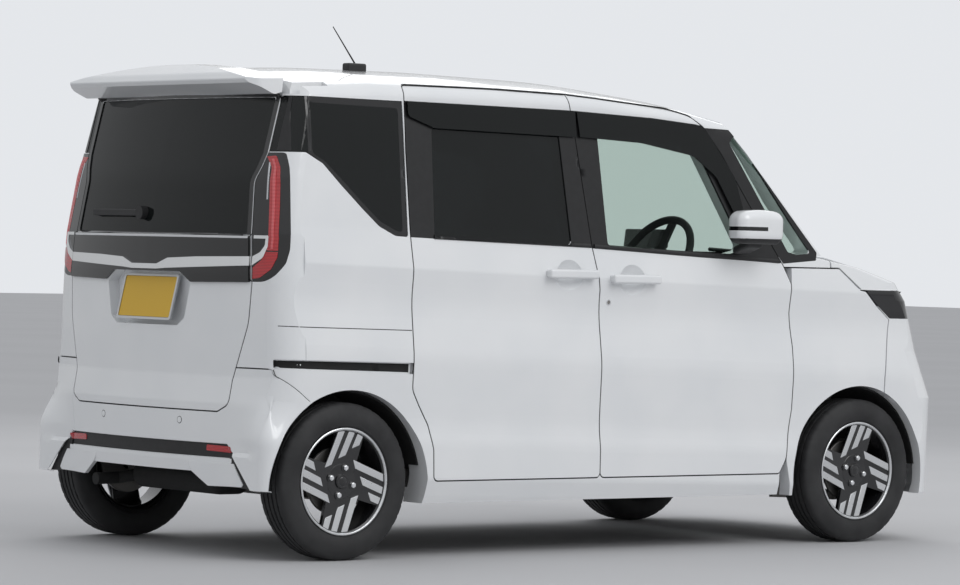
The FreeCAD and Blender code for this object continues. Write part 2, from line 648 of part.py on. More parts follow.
form = inside(size("frame_wall"))
floor = form.common(block(-900, 0, -880, 1420, FLOOR - 18, FLOOR))
floor = floor.cut(block(-900, -455, AXLE - 375, 2000, 0, 900))
load = form.common(block(-451.7, 0, 1200, 1560, FLOOR, FLOOR + 60))
piece("floor_pan", whole(floor.fuse(load).removeSplitter()), "dark")
bulkhead = inside(size("skin_wall")).common(block(-900, 0, -900, -884, FLOOR - 18, 1040))
bulkhead = bulkhead.cut(arch_cut(0, ARCH, -900, -390))
piece("bulkhead", whole(bulkhead), "dark")
rail = block(-385, -325, -1660, -900.3, 330, 430)
cross = block(-385, 0, -1600, -1545, 300, 700).cut(block(-300, 0, -1700, -1500, 360, 660))
tower = block(-545, -400, -AXLE - 80, -AXLE + 80, 700, 880)
brace = block(-470, -325, -AXLE - 80, -AXLE + 80, 420, 880).cut(block(-470, -385, -2000, -900, 0, 690))
front_frame = rail.fuse([cross, tower, brace]).cut(rod((-484, -AXLE, 600), (-484, -AXLE, 790), 68))
front_frame = front_frame.removeSplitter()
piece("front_structure", whole(front_frame), "dark")

# Wheel-arch liners


def liner(index, inner):
    y, z = ARCH_MIDDLES[index]
    drum = rod((inner, y, z), (-690, y, z), ARCH - SEAT).cut(rod((inner - 6, y, z), (-900, y, z), ARCH - 7))
    drum = drum.common(block(-900, 0, -2500, 2500, 330 if index else 300, 900))
    return drum.common(inside(size("glass_inset")))


front_liner = liner(0, -398).cut(rod((-700, -AXLE, 278.5), (0, -AXLE, 278.5), 60))
front_liner = front_liner.cut(block(-590, -380, -AXLE - 90, -AXLE + 90, 560, 900))
piece("front_arch_liners", [one for one in both(front_liner)], "black")
rear_liner = liner(1, -452)
piece("rear_arch_liners", [one for one in both(rear_liner)], "black")

# Wheels

SPOKE_ROWS = [(6, 130, 174), (-33, 77, 170), (-76, 25, 154)]
SPOKE_BACK = [(0, 40), (170, 20), (152, -89), (0, -50)]
SPOKE_LEAN = 22.0


def tyre_shape():
    half = size("tyre_width") / 2
    bead = size("rim_radius") + SEAT
    side = [(half - 28, bead), (half, 226), (half - 10, TYRE - 6), (half - 28, TYRE)]
    profile = side + [(-x, z) for x, z in reversed(side)] + [(24 - half, TYRE - 16), (half - 24, TYRE - 16)]
    face = flat(profile)
    return face.revolve(V(0, 0, 0), V(1, 0, 0), 360)


def wheel_shape():
    # outer side faces -X
    lip = size("rim_radius")
    half = size("rim_width") / 2
    barrel = flat([(-half - 2, lip + 4), (-half - 2, lip - 8), (-half + 30, lip - 16), (half, lip - 10), (half, lip + 4),
                   (half - 6, lip + 4), (half - 10, lip), (-half + 6, lip), (-half + 2, lip + 4)])
    barrel = barrel.revolve(V(0, 0, 0), V(1, 0, 0), 360)
    hub = rod((-52, 0, 0), (-16, 0, 0), 66)
    ring = rod((-54, 0, 0), (-38, 0, 0), lip - 10).cut(rod((-60, 0, 0), (-30, 0, 0), lip - 22))
    bars = []
    for quarter in range(4):
        for offset, start, end in SPOKE_ROWS:
            bars.append(block(-54, -40, start, end, offset - 12.5, offset + 12.5))
        bars.append(prism("x", SPOKE_BACK, -46, -30))
        for bar in bars[-4:]:
            bar.rotate(V(0, 0, 0), V(1, 0, 0), 90 * quarter + 90 + SPOKE_LEAN)
    wheel = barrel.fuse([hub, ring] + bars)
    wheel = wheel.cut(rod((-80, 0, 0), (-44, 0, 0), 27))
    for quarter in range(4):
        angle = math.radians(106 + 90 * quarter)
        y = math.cos(angle) * size("lug_circle") / 2
        z = math.sin(angle) * size("lug_circle") / 2
        wheel = wheel.cut(rod((-80, y, z), (-40, y, z), 14))
    disc = rod((-16, 0, 0), (-6, 0, 0), 66).fuse(rod((-6, 0, 0), (6, 0, 0), size("disc_radius")))
    wheel = wheel.fuse(disc)
    wheel = wheel.cut(rod((-30, 0, 0), (80, 0, 0), 20.05))
    return wheel.removeSplitter()


tyre = tyre_shape()
wheel = wheel_shape()
CORNERS = [("front_right", -1, -AXLE), ("front_left", 1, -AXLE), ("rear_right", -1, AXLE), ("rear_left", 1, AXLE)]
for name, side_sign, y in CORNERS:
    for label, shape, material in (("tyre_", tyre, "tyre"), ("wheel_", wheel, "alloy")):
        one = shape.copy() if side_sign < 0 else mirrored(shape)
        one.translate(V(side_sign * TRACK, y, TYRE))
        piece(label + name, one, material)

# Knuckles with their struts, front suspension, rear axle

LOW_JOINT = V(-600, -AXLE, 196)
HIGH_JOINT = V(-470, -AXLE, 800)


def along(share):
    return LOW_JOINT + (HIGH_JOINT - LOW_JOINT) * share


upright = block(-628, -590, -AXLE - 34, -AXLE + 34, 200, 360)
upright = upright.fuse(rod((-662, -AXLE, TYRE), (-600, -AXLE, TYRE), 20))
strut_line = [tuple(along(0.25)), tuple(along(0.7))]
upright = upright.fuse(block(-628, -560, -AXLE - 20, -AXLE + 20, 330, 400))
upright = upright.fuse(rod(strut_line[0], strut_line[1], 24))
upright = upright.removeSplitter().cut(Part.makeSphere(size("ball_radius") + SEAT, LOW_JOINT))
piece("knuckle_right", upright, "steel")
piece("knuckle_left", mirrored(upright), "steel")

# the lower arm in (X, Y from the axle), clear of the tyre at full lock
ARM_PLAN = [(-612, -30), (-540, -30), (-400, -120), (-388, -120), (-388, 160), (-400, 160), (-540, 30), (-612, 30)]
arm = prism("z", [(a, b - AXLE) for a, b in ARM_PLAN], 160, 190)
arm = arm.fuse(Part.makeSphere(size("ball_radius"), LOW_JOINT))
subframe = block(-388, 0, -AXLE - 120, -AXLE + 190, 180, 230)
mount_legs = block(-385, -325, -AXLE - 120, -AXLE - 60, 225, 329.7).fuse(
    block(-385, -325, -AXLE + 130, -AXLE + 190, 225, 329.7))
piston = rod(tuple(along(0.71)), tuple(along(0.979)), 11)
coil = rod(tuple(along(0.76)), tuple(along(0.95)), 46)
rack = rod((-330, -AXLE + 150, 262), (0, -AXLE + 150, 262), 26).fuse(
    block(-300, -240, -AXLE + 120, -AXLE + 180, 225, 270))
front_suspension = [whole(arm.fuse([subframe, mount_legs, rack]))] + both(piston.fuse(coil))
piece("front_suspension", front_suspension, "steel")

beam = block(-550, 0, AXLE - 330, AXLE - 270, 176, 228)
trail = block(-556, -506, AXLE - 420, AXLE + 60, 215, 275)
plate = block(-560, -548, AXLE - 50, AXLE + 50, 220, 340)
stub = rod((-662, AXLE, TYRE), (-548, AXLE, TYRE), 20)
bush = rod((-530, AXLE - 400, 255), (-530, AXLE - 400, 311.7), 34)
spring = rod((-420, AXLE - 150, 200), (-420, AXLE - 150, 311.7), 52)
spring_seat = block(-500, -380, AXLE - 210, AXLE - 90, 195, 215)
axle = beam.fuse([trail, plate, stub, bush, spring, spring_seat]).removeSplitter()
piece("rear_axle", whole(axle), "steel")

# Cabin: dashboard, steering column and wheel, front seats and rear bench

form = inside(size("frame_wall"))
DASH = [(-876, 760, 10), (-876, 1050, 20), (-780, 1106, 30), (-640, 1085, 60), (-590, 960, 40), (-620, 740, 30),
        (-760, 640, 20)]
dash = form.common(prism("x", DASH, -900, 0))
console = block(-110, 0, -860, -600, FLOOR, 760)
dash = whole(dash.fuse(console))
COLUMN_TOP = V(-350, -492, 1080)
COLUMN_DIR = V(0, 0.87, 0.49)
column_foot = COLUMN_TOP - COLUMN_DIR * 260
dash = dash.fuse(rod(tuple(column_foot), tuple(COLUMN_TOP - COLUMN_DIR * 36.4), 32)).removeSplitter()
piece("dashboard", dash, "dark")
tilt = FreeCAD.Rotation(V(0, 0, 1), COLUMN_DIR)
grip = Part.makeTorus(size("steering_wheel_radius"), 15)
hub = Part.makeCylinder(62, 36, V(0, 0, -36))
arms = block(-size("steering_wheel_radius"), size("steering_wheel_radius"), -16, 16, -14, -2)
arms = arms.fuse(block(-18, 18, -size("steering_wheel_radius"), 0, -14, -2))
steer = grip.fuse([hub, arms]).removeSplitter()
steer.Placement = FreeCAD.Placement(COLUMN_TOP, tilt)
piece("steering_wheel", steer, "dark")


def seat(x0, x1, y, low, back_lean, back_top, wide_head):
    cushion = softened(block(x0, x1, y - 460, y + 40, low, low + 130), 40)
    back = block(x0 + 8, x1 - 8, y - 60, y + 60, low + 20, back_top)
    back = softened(back, 38)
    back.rotate(V(0, y, low + 60), V(1, 0, 0), -back_lean)
    middle = (x0 + x1) / 2
    lean = math.tan(math.radians(back_lean))
    head_y = y + (back_top + 110 - low - 60) * lean
    head = softened(block(middle - wide_head, middle + wide_head, head_y - 45, head_y + 45, back_top + 24, back_top + 190), 36)
    posts = [rod((middle + dx, head_y - 20, back_top - 60), (middle + dx, head_y, back_top + 60), 6) for dx in (-50, 50)]
    return cushion.fuse([back, head] + posts).removeSplitter()


front_seat = seat(-580, -75, 90, 560, 12, 1150, 125)
rear_seat = seat(-575, -12, 900, 560, 14, 1130, 115)
front_base = block(-560, -95, -330, 110, FLOOR, 559.7)
front_base = front_base.cut(block(-540, -115, -400, 200, FLOOR + 40, 520))
rear_base = block(-450, -20, 480, 920, FLOOR, 559.7)
rear_base = rear_base.cut(block(-430, -40, 400, 1000, FLOOR + 40, 520))
piece("front_seats", both(front_seat), "fabric")
piece("rear_seats", both(rear_seat), "fabric")
piece("seat_bases", [one for part in (front_base, rear_base) for one in both(part)], "dark")

# Engine bay, tank, exhaust, wipers, antenna

engine = softened(block(-290, 120, -1500, -1230, 380, 860), 30)
gearbox = softened(block(110, 300, -1490, -1240, 380, 640), 30)
cover = softened(block(-250, 90, -1480, -1250, 860.3, 905), 12)
feet = block(-324.7, -280, -1420, -1340, 380, 425).fuse(block(290, 324.7, -1420, -1340, 380, 425))
piece("engine", engine.fuse([gearbox, feet]).Solids + [cover], "steel")
radiator = block(-320, 320, -1544.7, -1520, 330, 690)
piece("radiator", radiator, "dark")
tank = softened(block(-290, 330, 380, 860, 190, 311.7), 25)
piece("fuel_tank", tank, "dark")
pipe_path = [(-380, -1000, 250), (-380, 300, 250), (-380, 900, 250)]
exhaust = rod((-345, -1020, 262), (-345, 990, 262), 24)
box_shape = softened(block(-300, 260, 1345, 1500, 210, 306), 40)
tail = tube_path([(-345, 980, 262), (-345, 1330, 285), (-280, 1400, 280)], 22)
tail_end = tube_path([(250, 1440, 256), (330, 1500, 238), (330, 1600, 236)], 22)
hangers = block(-20, 20, 1425, 1455, 300, FLOOR - SEAT)
piece("exhaust", [exhaust.fuse([tail, box_shape, tail_end, hangers]).removeSplitter()], "steel")


ROOF_BLOCK = whole(OUTER.common(block(-600, 0, 700, 1100, 1500, 1850)))
base = softened(block(-226, -184, 820, 905, 1728, 1776), 8).cut(ROOF_BLOCK)
base = max(base.Solids, key=lambda one: one.Volume)
mast_foot = V(-205, 855, 1768)
mast = Part.makeCone(3.2, 1.8, size("antenna_length"), mast_foot, V(0, 0.62, 0.78))
antenna = base.fuse(mast).removeSplitter()
piece("roof_antenna", antenna, "black")

glass_form = whole(inside(glass_top).common(block(-600, 0, 1300, 1800, 1150, 1300)))
WIPER_PIVOT = (55, 1210)
pivot_cap = rod((WIPER_PIVOT[0], 1500, WIPER_PIVOT[1]), (WIPER_PIVOT[0], 1622, WIPER_PIVOT[1]), 24).cut(glass_form)
pivot_cap = max(pivot_cap.Solids, key=lambda one: one.CenterOfMass.y)
rear_arm = softened(block(WIPER_PIVOT[0] - 10, 400, 1604, 1622, WIPER_PIVOT[1] - 12, WIPER_PIVOT[1] + 12), 4)
rear_arm.rotate(V(WIPER_PIVOT[0], 1613, WIPER_PIVOT[1]), V(0, 0, 1), -5)
rear_wiper = pivot_cap.fuse(rear_arm).cut(glass_form)
rear_wiper = max(rear_wiper.Solids, key=lambda one: one.Volume)
piece("rear_wiper", rear_wiper, "black")

ACROSS = whole(OUTER.common(block(-700, 0, -1260, -900, 1000, 1400)))
front_wipers = []
for x0, x1 in ((-420, 60), (180, 520)):
    pivot_y = -1165 + (x0 * x0) / (2 * SCREEN_TURN)
    sweep_y = -1140 + (x1 * x1) / (2 * SCREEN_TURN)
    blade = rod((x0, pivot_y - 10, 1106), (x1, sweep_y - 6, 1128), 8)
    blade = blade.cut(ACROSS)
    front_wipers.append(max(blade.Solids, key=lambda one: one.Volume))
piece("front_wipers", front_wipers, "black")

for thing in PIECES:
    print(thing.Label, thing.Shape.isValid(), len(thing.Shape.Solids), round(thing.Shape.Volume / 1e6, 2))
DOC.recompute()
os.makedirs("parts", exist_ok=True)
for thing in PIECES:
    thing.Shape.exportStep("parts/%s.step" % thing.Label)
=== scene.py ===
"""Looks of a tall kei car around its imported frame: finishes, trim, lamps, wheels, seats, stage and camera."""

import json
import math

import bmesh
import bpy
from mathutils import Matrix, Vector
from mathutils.bvhtree import BVHTree
from mathutils.geometry import delaunay_2d_cdt


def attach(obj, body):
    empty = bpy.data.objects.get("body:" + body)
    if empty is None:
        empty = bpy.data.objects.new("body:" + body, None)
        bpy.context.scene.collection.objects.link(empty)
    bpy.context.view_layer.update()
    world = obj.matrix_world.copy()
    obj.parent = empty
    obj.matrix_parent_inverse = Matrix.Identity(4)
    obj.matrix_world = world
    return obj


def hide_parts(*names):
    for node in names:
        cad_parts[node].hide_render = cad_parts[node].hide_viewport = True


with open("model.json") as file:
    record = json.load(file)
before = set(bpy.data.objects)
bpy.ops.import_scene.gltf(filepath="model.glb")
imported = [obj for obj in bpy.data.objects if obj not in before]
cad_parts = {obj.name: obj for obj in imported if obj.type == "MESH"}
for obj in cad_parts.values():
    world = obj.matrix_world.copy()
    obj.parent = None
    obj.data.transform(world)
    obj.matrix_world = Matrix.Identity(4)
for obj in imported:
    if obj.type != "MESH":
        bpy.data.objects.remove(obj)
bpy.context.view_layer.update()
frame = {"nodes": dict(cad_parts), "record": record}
NODES = frame["nodes"]

# Lengths are millimetres from the middle of the wheelbase; put() gives the frame's metres
MM = 0.001
ORIGIN_SHIFT = 57.5
HALF_WHEELBASE = 1247.5
WHEEL_MIDDLE = 647.0
TYRE_RADIUS = 278.5
SIDES = (("right", -1), ("left", 1))


def put(x, y, z):
    return Vector((x, y + ORIGIN_SHIFT, z)) * MM


# Materials


def shader(name, colour, rough=0.4, metal=0.0, coat=0.0, coat_rough=0.03, sheen=0.0):
    """A new material with one Principled shader; returns (material, node tree, shader node)."""
    made = bpy.data.materials.new(name)
    made.use_nodes = True
    tree = made.node_tree
    main = tree.nodes["Principled BSDF"]
    main.inputs["Base Color"].default_value = (*colour, 1)
    main.inputs["Roughness"].default_value = rough
    main.inputs["Metallic"].default_value = metal
    main.inputs["Coat Weight"].default_value = coat
    main.inputs["Coat Roughness"].default_value = coat_rough
    main.inputs["Sheen Weight"].default_value = sheen
    return made, tree, main


def noise(tree, scale, detail=2.0, kind="ShaderNodeTexNoise"):
    place = tree.nodes.new("ShaderNodeTexCoord")
    made = tree.nodes.new(kind)
    made.inputs["Scale"].default_value = scale
    if "Detail" in made.inputs:
        made.inputs["Detail"].default_value = detail
    tree.links.new(place.outputs["Object"], made.inputs["Vector"])
    return made


def vary_colour(tree, main, texture, low, high, start=0.35, end=0.65):
    ramp = tree.nodes.new("ShaderNodeValToRGB")
    ramp.color_ramp.elements[0].position = start
    ramp.color_ramp.elements[1].position = end
    ramp.color_ramp.elements[0].color = (*low, 1)
    ramp.color_ramp.elements[1].color = (*high, 1)
    tree.links.new(texture.outputs[0], ramp.inputs["Fac"])
    tree.links.new(ramp.outputs["Color"], main.inputs["Base Color"])


def vary_roughness(tree, main, texture, low, high):
    span = tree.nodes.new("ShaderNodeMapRange")
    span.inputs["To Min"].default_value = low
    span.inputs["To Max"].default_value = high
    tree.links.new(texture.outputs[0], span.inputs["Value"])
    tree.links.new(span.outputs["Result"], main.inputs["Roughness"])


def add_bump(tree, main, texture, strength, distance):
    bump = tree.nodes.new("ShaderNodeBump")
    bump.inputs["Strength"].default_value = strength
    bump.inputs["Distance"].default_value = distance
    tree.links.new(texture.outputs[0], bump.inputs["Height"])
    tree.links.new(bump.outputs["Normal"], main.inputs["Normal"])


def paint(name, low, high):
    made, tree, main = shader(name, high, 0.32, 0.0, 1.0, 0.03)
    vary_colour(tree, main, noise(tree, 3.0), low, high)
    add_bump(tree, main, noise(tree, 900.0, 1.0), 0.06, 0.0002)
    return made


def gloss(name, colour, rough=0.08, coat=0.6):
    made, tree, main = shader(name, colour, rough, 0.0, coat)
    vary_roughness(tree, main, noise(tree, 14.0), rough, rough + 0.06)
    return made


def moulded(name, colour, rough=0.55, grain=1400.0, depth=0.35):
    made, tree, main = shader(name, colour, rough)
    low = tuple(part * 0.8 for part in colour)
    vary_colour(tree, main, noise(tree, 40.0), low, colour)
    add_bump(tree, main, noise(tree, grain, 3.0), depth, 0.0004)
    return made


def metal(name, colour, rough, grain=0.0, stretch=(1, 1, 1)):
    made, tree, main = shader(name, colour, rough, 1.0)
    texture = noise(tree, 30.0)
    vary_roughness(tree, main, texture, rough, rough + 0.1)
    if grain:
        fine = noise(tree, grain, 2.0)
        squeeze = tree.nodes.new("ShaderNodeVectorMath")
        squeeze.operation = "MULTIPLY"
        squeeze.inputs[1].default_value = stretch
        tree.links.new(fine.inputs["Vector"].links[0].from_socket, squeeze.inputs[0])
        tree.links.new(squeeze.outputs["Vector"], fine.inputs["Vector"])
        add_bump(tree, main, fine, 0.25, 0.0003)
    return made


def clear(name, tint, seen, rough=0.02):
    """Window glass: a share of what is behind shows, tinted, and the surface reflects."""
    made, tree, main = shader(name, (0.01, 0.012, 0.012), rough, 0.0, 0.0)
    see = tree.nodes.new("ShaderNodeBsdfTransparent")
    see.inputs["Color"].default_value = (*tint, 1)
    mix = tree.nodes.new("ShaderNodeMixShader")
    mix.inputs["Fac"].default_value = 1 - seen
    out = tree.nodes["Material Output"]
    tree.links.new(see.outputs[0], mix.inputs[1])
    tree.links.new(main.outputs[0], mix.inputs[2])
    tree.links.new(mix.outputs[0], out.inputs["Surface"])
    return made


def rubber(name):
    made, tree, main = shader(name, (0.02, 0.02, 0.021), 0.7)
    vary_colour(tree, main, noise(tree, 9.0, 4.0), (0.016, 0.016, 0.017), (0.03, 0.03, 0.031))
    add_bump(tree, main, noise(tree, 700.0, 3.0), 0.3, 0.0005)
    return made


def lens(name, deep, bright, rib_scale):
    """Coloured lamp plastic with fine inner ribs."""
    made, tree, main = shader(name, bright, 0.12, 0.0, 1.0)
    wave = noise(tree, rib_scale, kind="ShaderNodeTexWave")
    wave.bands_direction = "Z"
    wave.inputs["Distortion"].default_value = 0.0
    vary_colour(tree, main, wave, deep, bright, 0.1, 0.9)
    add_bump(tree, main, wave, 0.4, 0.001)
    return made


def woven(name, low, high, scale=900.0):
    made, tree, main = shader(name, high, 0.85, 0.0, 0.0, 0.03, 0.35)
    wave = noise(tree, scale, kind="ShaderNodeTexVoronoi")
    vary_colour(tree, main, wave, low, high, 0.1, 0.6)
    add_bump(tree, main, wave, 0.5, 0.0006)
    return made


WHITE = paint("pearl_white", (0.8, 0.815, 0.83), (0.84, 0.85, 0.86))
PIANO = gloss("piano_black", (0.007, 0.007, 0.008))
SASH = moulded("sash_black", (0.014, 0.014, 0.015), 0.32, 1600.0, 0.15)
TRIM = moulded("trim_black", (0.018, 0.018, 0.019))
DARK = moulded("dark_plastic", (0.035, 0.035, 0.037), 0.65, 500.0)
# the arch liners' black, also used as painted shade in the rail slot and on the exhaust
LINER_AND_SHADE = moulded("liner_black_and_shade", (0.012, 0.012, 0.012), 0.85, 300.0)
UNDERCOAT = moulded("undercoat", (0.03, 0.03, 0.032), 0.8, 260.0, 0.6)
RUBBER = rubber("tyre_rubber")
# rubber seals, also used as painted shade in the shut lines and on the panel seam
SEAL_AND_SHADE = moulded("seal_rubber_and_shade", (0.01, 0.01, 0.01), 0.6, 900.0)
CHROME = metal("chrome", (0.9, 0.91, 0.92), 0.13)
SATIN = metal("satin_silver", (0.6, 0.61, 0.62), 0.28)
MACHINED = metal("machined_face", (0.78, 0.79, 0.8), 0.24, 900.0, (1, 1, 0.05))
WHEEL_BLACK = gloss("wheel_black", (0.009, 0.009, 0.01), 0.18)
STEEL = metal("dull_steel", (0.3, 0.29, 0.28), 0.5, 300.0)
CLEAR = clear("green_glass", (0.89, 0.935, 0.91), 0.94)
PRIVACY = clear("privacy_glass", (0.16, 0.17, 0.18), 0.3)
SMOKE = clear("smoke_visor", (0.1, 0.1, 0.11), 0.35, 0.08)
RED = lens("red_lens", (0.3, 0.004, 0.008), (0.62, 0.012, 0.02), 60.0)
RED_CORE = lens("red_light_core", (0.66, 0.09, 0.1), (0.74, 0.12, 0.13), 25.0)
RED_BAR = lens("red_light_bar", (0.45, 0.016, 0.022), (0.52, 0.024, 0.03), 25.0)
PLATE = gloss("plate_yellow", (0.69, 0.42, 0.022), 0.4, 0.1)
FABRIC = woven("seat_fabric", (0.02, 0.02, 0.022), (0.06, 0.06, 0.065))
REFLECTOR = metal("lamp_reflector", (0.55, 0.56, 0.58), 0.15)

SLOT_LOOKS = {"body": WHITE, "black": TRIM, "dark": UNDERCOAT, "glass": CLEAR, "dark_glass": PRIVACY,
              "smoke": SMOKE, "lamp": PIANO, "tyre": RUBBER, "alloy": WHEEL_BLACK, "steel": STEEL,
              "fabric": FABRIC}
# the exhaust gets the liners' near black as painted shade, so that it sinks into the shadow under the bumper
NODE_LOOKS = {"cowl": TRIM, "tailgate_garnish": PIANO, "front_arch_liners": LINER_AND_SHADE, "rear_arch_liners": LINER_AND_SHADE,
              "exhaust": LINER_AND_SHADE, "dashboard": DARK, "steering_wheel": DARK, "engine": DARK, "radiator": DARK,
              "grille": TRIM}


def dress_cad():
    """Gives every CAD node its finish."""
    slots = {part["node"]: part["material_slot"] for part in frame["record"]["subparts"]}
    for name, node in NODES.items():
        look = NODE_LOOKS.get(name, SLOT_LOOKS[slots[name]])
        node.data.materials.clear()
        node.data.materials.append(look)
        for face in node.data.polygons:
            face.material_index = 0
    side_panes = NODES["fixed_side_glass"].data
    side_panes.materials.append(CLEAR)
    for face in side_panes.polygons:
        # the panes ahead of the doors are clear and those behind them dark
        face.material_index = 1 if face.center.y < 0 else 0


# Outlines and surfaces


# half an angle above which a corner counts as straight, the share of a side that a round may take, the pieces
# of a round, and the shortest segment kept
NEARLY_STRAIGHT = 1.55
ROUND_SHARE = 0.48
ROUND_PIECES = 6
SHORTEST = 0.4


def rounded(points, closed=True, step=14.0):
    """A polyline through (a, b) or (a, b, radius) points, corners rounded and no segment over step."""
    count = len(points)
    line = []
    for i, point in enumerate(points):
        here = Vector(point[:2])
        radius = point[2] if len(point) > 2 else 0
        if radius <= 0 or (not closed and i in (0, count - 1)):
            line.append(here)
            continue
        back = Vector(points[i - 1][:2]) - here
        ahead = Vector(points[(i + 1) % count][:2]) - here
        half = math.acos(max(-1, min(1, back.normalized().dot(ahead.normalized())))) / 2
        if half > NEARLY_STRAIGHT:
            line.append(here)
            continue
        cut = min(radius / math.tan(half), back.length * ROUND_SHARE, ahead.length * ROUND_SHARE)
        start, end = here + back.normalized() * cut, here + ahead.normalized() * cut
        for k in range(ROUND_PIECES + 1):
            t = k / ROUND_PIECES
            line.append(start * (1 - t) ** 2 + here * 2 * t * (1 - t) + end * t ** 2)
    dense = []
    last = len(line) if closed else len(line) - 1
    for i in range(last):
        a, b = line[i], line[(i + 1) % len(line)]
        parts = max(1, math.ceil((b - a).length / step))
        for k in range(parts):
            dense.append(a.lerp(b, k / parts))
    if not closed:
        dense.append(line[-1])
    slim = [dense[0]]
    for point in dense[1:]:
        if (point - slim[-1]).length > SHORTEST:
            slim.append(point)
    return slim


def surface_tree(names):
    places, faces = [], []
    for name in names:
        mesh = NODES[name].data
        base = len(places)
        places += [v.co.copy() for v in mesh.vertices]
        faces += [[base + i for i in face.vertices] for face in mesh.polygons]
    return BVHTree.FromPolygons(places, faces)


# for each side of the car: the place well outside that (a, b) stands for, and the way in
OUTSIDE_X, OUTSIDE_Y = 1500, 2600
FACES = {
    "right": (lambda a, b: put(-OUTSIDE_X, a, b), Vector((1, 0, 0))),
    "left": (lambda a, b: put(OUTSIDE_X, a, b), Vector((-1, 0, 0))),
    "back": (lambda a, b: put(a, OUTSIDE_Y, b), Vector((0, -1, 0))),
    "front": (lambda a, b: put(a, -OUTSIDE_Y, b), Vector((0, 1, 0))),
}
# points closer than this are one, in metres, and edges sharper than this are bevelled, in degrees
WELD = 0.00002
BEVEL_FROM = 40


def land(tree, face, a, b):
    """(place, outward normal) where the body's surface lies behind (a, b), seen square on to face."""
    start, way = FACES[face][0](a, b), FACES[face][1]
    place, normal, _, _ = tree.ray_cast(start, way)
    if place is None:
        near, normal, _, _ = tree.find_nearest(start + way * 0.85)
        place = Vector([start[i] if abs(way[i]) < 0.5 else near[i] for i in range(3)])
    if normal.dot(way) > 0:
        normal = -normal
    return place, normal


def in_scene(name, data):
    thing = bpy.data.objects.new(name, data)
    bpy.context.scene.collection.objects.link(thing)
    return thing


def finish_mesh(name, places, faces, body, material, slot=None, smooth=40.0, bevel=0.0):
    """One piece from vertices and faces, shaded, given its finish and put on its body."""
    mesh = bpy.data.meshes.new(name)
    mesh.from_pydata([tuple(p) for p in places], [], faces)
    made = bmesh.new()
    made.from_mesh(mesh)
    bmesh.ops.remove_doubles(made, verts=made.verts, dist=WELD)
    bmesh.ops.recalc_face_normals(made, faces=made.faces)
    made.to_mesh(mesh)
    made.free()
    mesh.shade_smooth()
    mesh.set_sharp_from_angle(angle=math.radians(smooth))
    thing = in_scene(name, mesh)
    mesh.materials.append(material)
    if bevel:
        edge = thing.modifiers.new("bevel", "BEVEL")
        edge.width = bevel * MM
        edge.segments = 2
        edge.limit_method = "ANGLE"
        edge.angle_limit = math.radians(BEVEL_FROM)
    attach(thing, body)
    return thing


def inside_loop(point, loop):
    hit = False
    for i in range(len(loop)):
        a, b = loop[i - 1], loop[i]
        if (a.y > point.y) != (b.y > point.y):
            if point.x < (b.x - a.x) * (point.y - a.y) / (b.y - a.y) + a.x:
                hit = not hit
    return hit


def grown(points, by):
    """The same outline set outwards by so many millimetres, or inwards if negative."""
    count = len(points)
    area = sum(points[i - 1][0] * points[i][1] - points[i][0] * points[i - 1][1] for i in range(count))
    sense = 1 if area > 0 else -1
    made = []
    for i, point in enumerate(points):
        before, here, after = (Vector(points[k % count][:2]) for k in (i - 1, i, i + 1))
        first, second = (here - before).normalized(), (after - here).normalized()
        outward = Vector((first.y + second.y, -first.x - second.x)) * sense
        here = here + outward * by / max(0.3, 1 + first.dot(second))
        made.append((here.x, here.y) + tuple(point[2:]))
    return made


def flipped(points, sign):
    """The outline on the side that sign names."""
    return [(sign * point[0],) + tuple(point[1:]) for point in points]


def both_halves(points):
    """A line down the right half of the car's back, carried on up the left half."""
    return points + flipped(reversed(points), -1)


def key(spot):
    return round(spot[0], 2), round(spot[1], 2)


def inward_shifts(loops, inset=3.0):
    """For each edge point of a panel, a short step inwards, where the surface is sampled in its place."""
    shifts = {}
    for k, loop in enumerate(loops):
        area = sum(loop[i - 1].x * loop[i].y - loop[i].x * loop[i - 1].y for i in range(len(loop)))
        sense = (1 if area > 0 else -1) * (1 if k == 0 else -1)
        for i, here in enumerate(loop):
            along = (loop[(i + 1) % len(loop)] - loop[i - 1]).normalized()
            shifts[key(here)] = Vector((-along.y, along.x)) * sense * inset
    return shifts


def patch(name, body, material, slot, face, points, names, lift, depth, holes=(), step=30.0, bevel=0.5):
    """A thin panel of one outline that follows the body's surface, with its holes left open."""
    loops = [rounded(outline) for outline in (points, *holes)]

    def within(spot):
        return inside_loop(spot, loops[0]) and not any(inside_loop(spot, hole) for hole in loops[1:])

    border, edges = [], []
    for loop in loops:
        first, count = len(border), len(loop)
        edges += [(first + (i - 1) % count, first + i) for i in range(count)]
        border += loop
    low = Vector((min(p.x for p in loops[0]), min(p.y for p in loops[0])))
    high = Vector((max(p.x for p in loops[0]), max(p.y for p in loops[0])))
    flat = list(border)
    for i in range(1, int((high.x - low.x) / step) + 1):
        for k in range(1, int((high.y - low.y) / step) + 1):
            spot = Vector((low.x + i * step, low.y + k * step))
            if all((spot - p).length > step * 0.4 for p in border) and within(spot):
                flat.append(spot)
    spots, _, triangles, _, _, _ = delaunay_2d_cdt(flat, edges, [], 0, 1e-4)
    kept = [list(triangle) for triangle in triangles
            if within(sum((spots[i] for i in triangle), Vector((0, 0))) / len(triangle))]
    tree, shifts, (outside, way) = surface_tree(names), inward_shifts(loops), FACES[face]
    places = []
    for spot in spots:
        start = outside(*spot)
        place = land(tree, face, *(spot + shifts.get(key(spot), Vector((0, 0)))))[0]
        places.append(start + way * (place - start).dot(way))
    return shell(name, healed(places, kept, way), kept, way, body, material, slot, lift, depth, bevel)


# a point this much deeper than its neighbours fell into a gap, in metres
GAP_DEPTH = 0.004


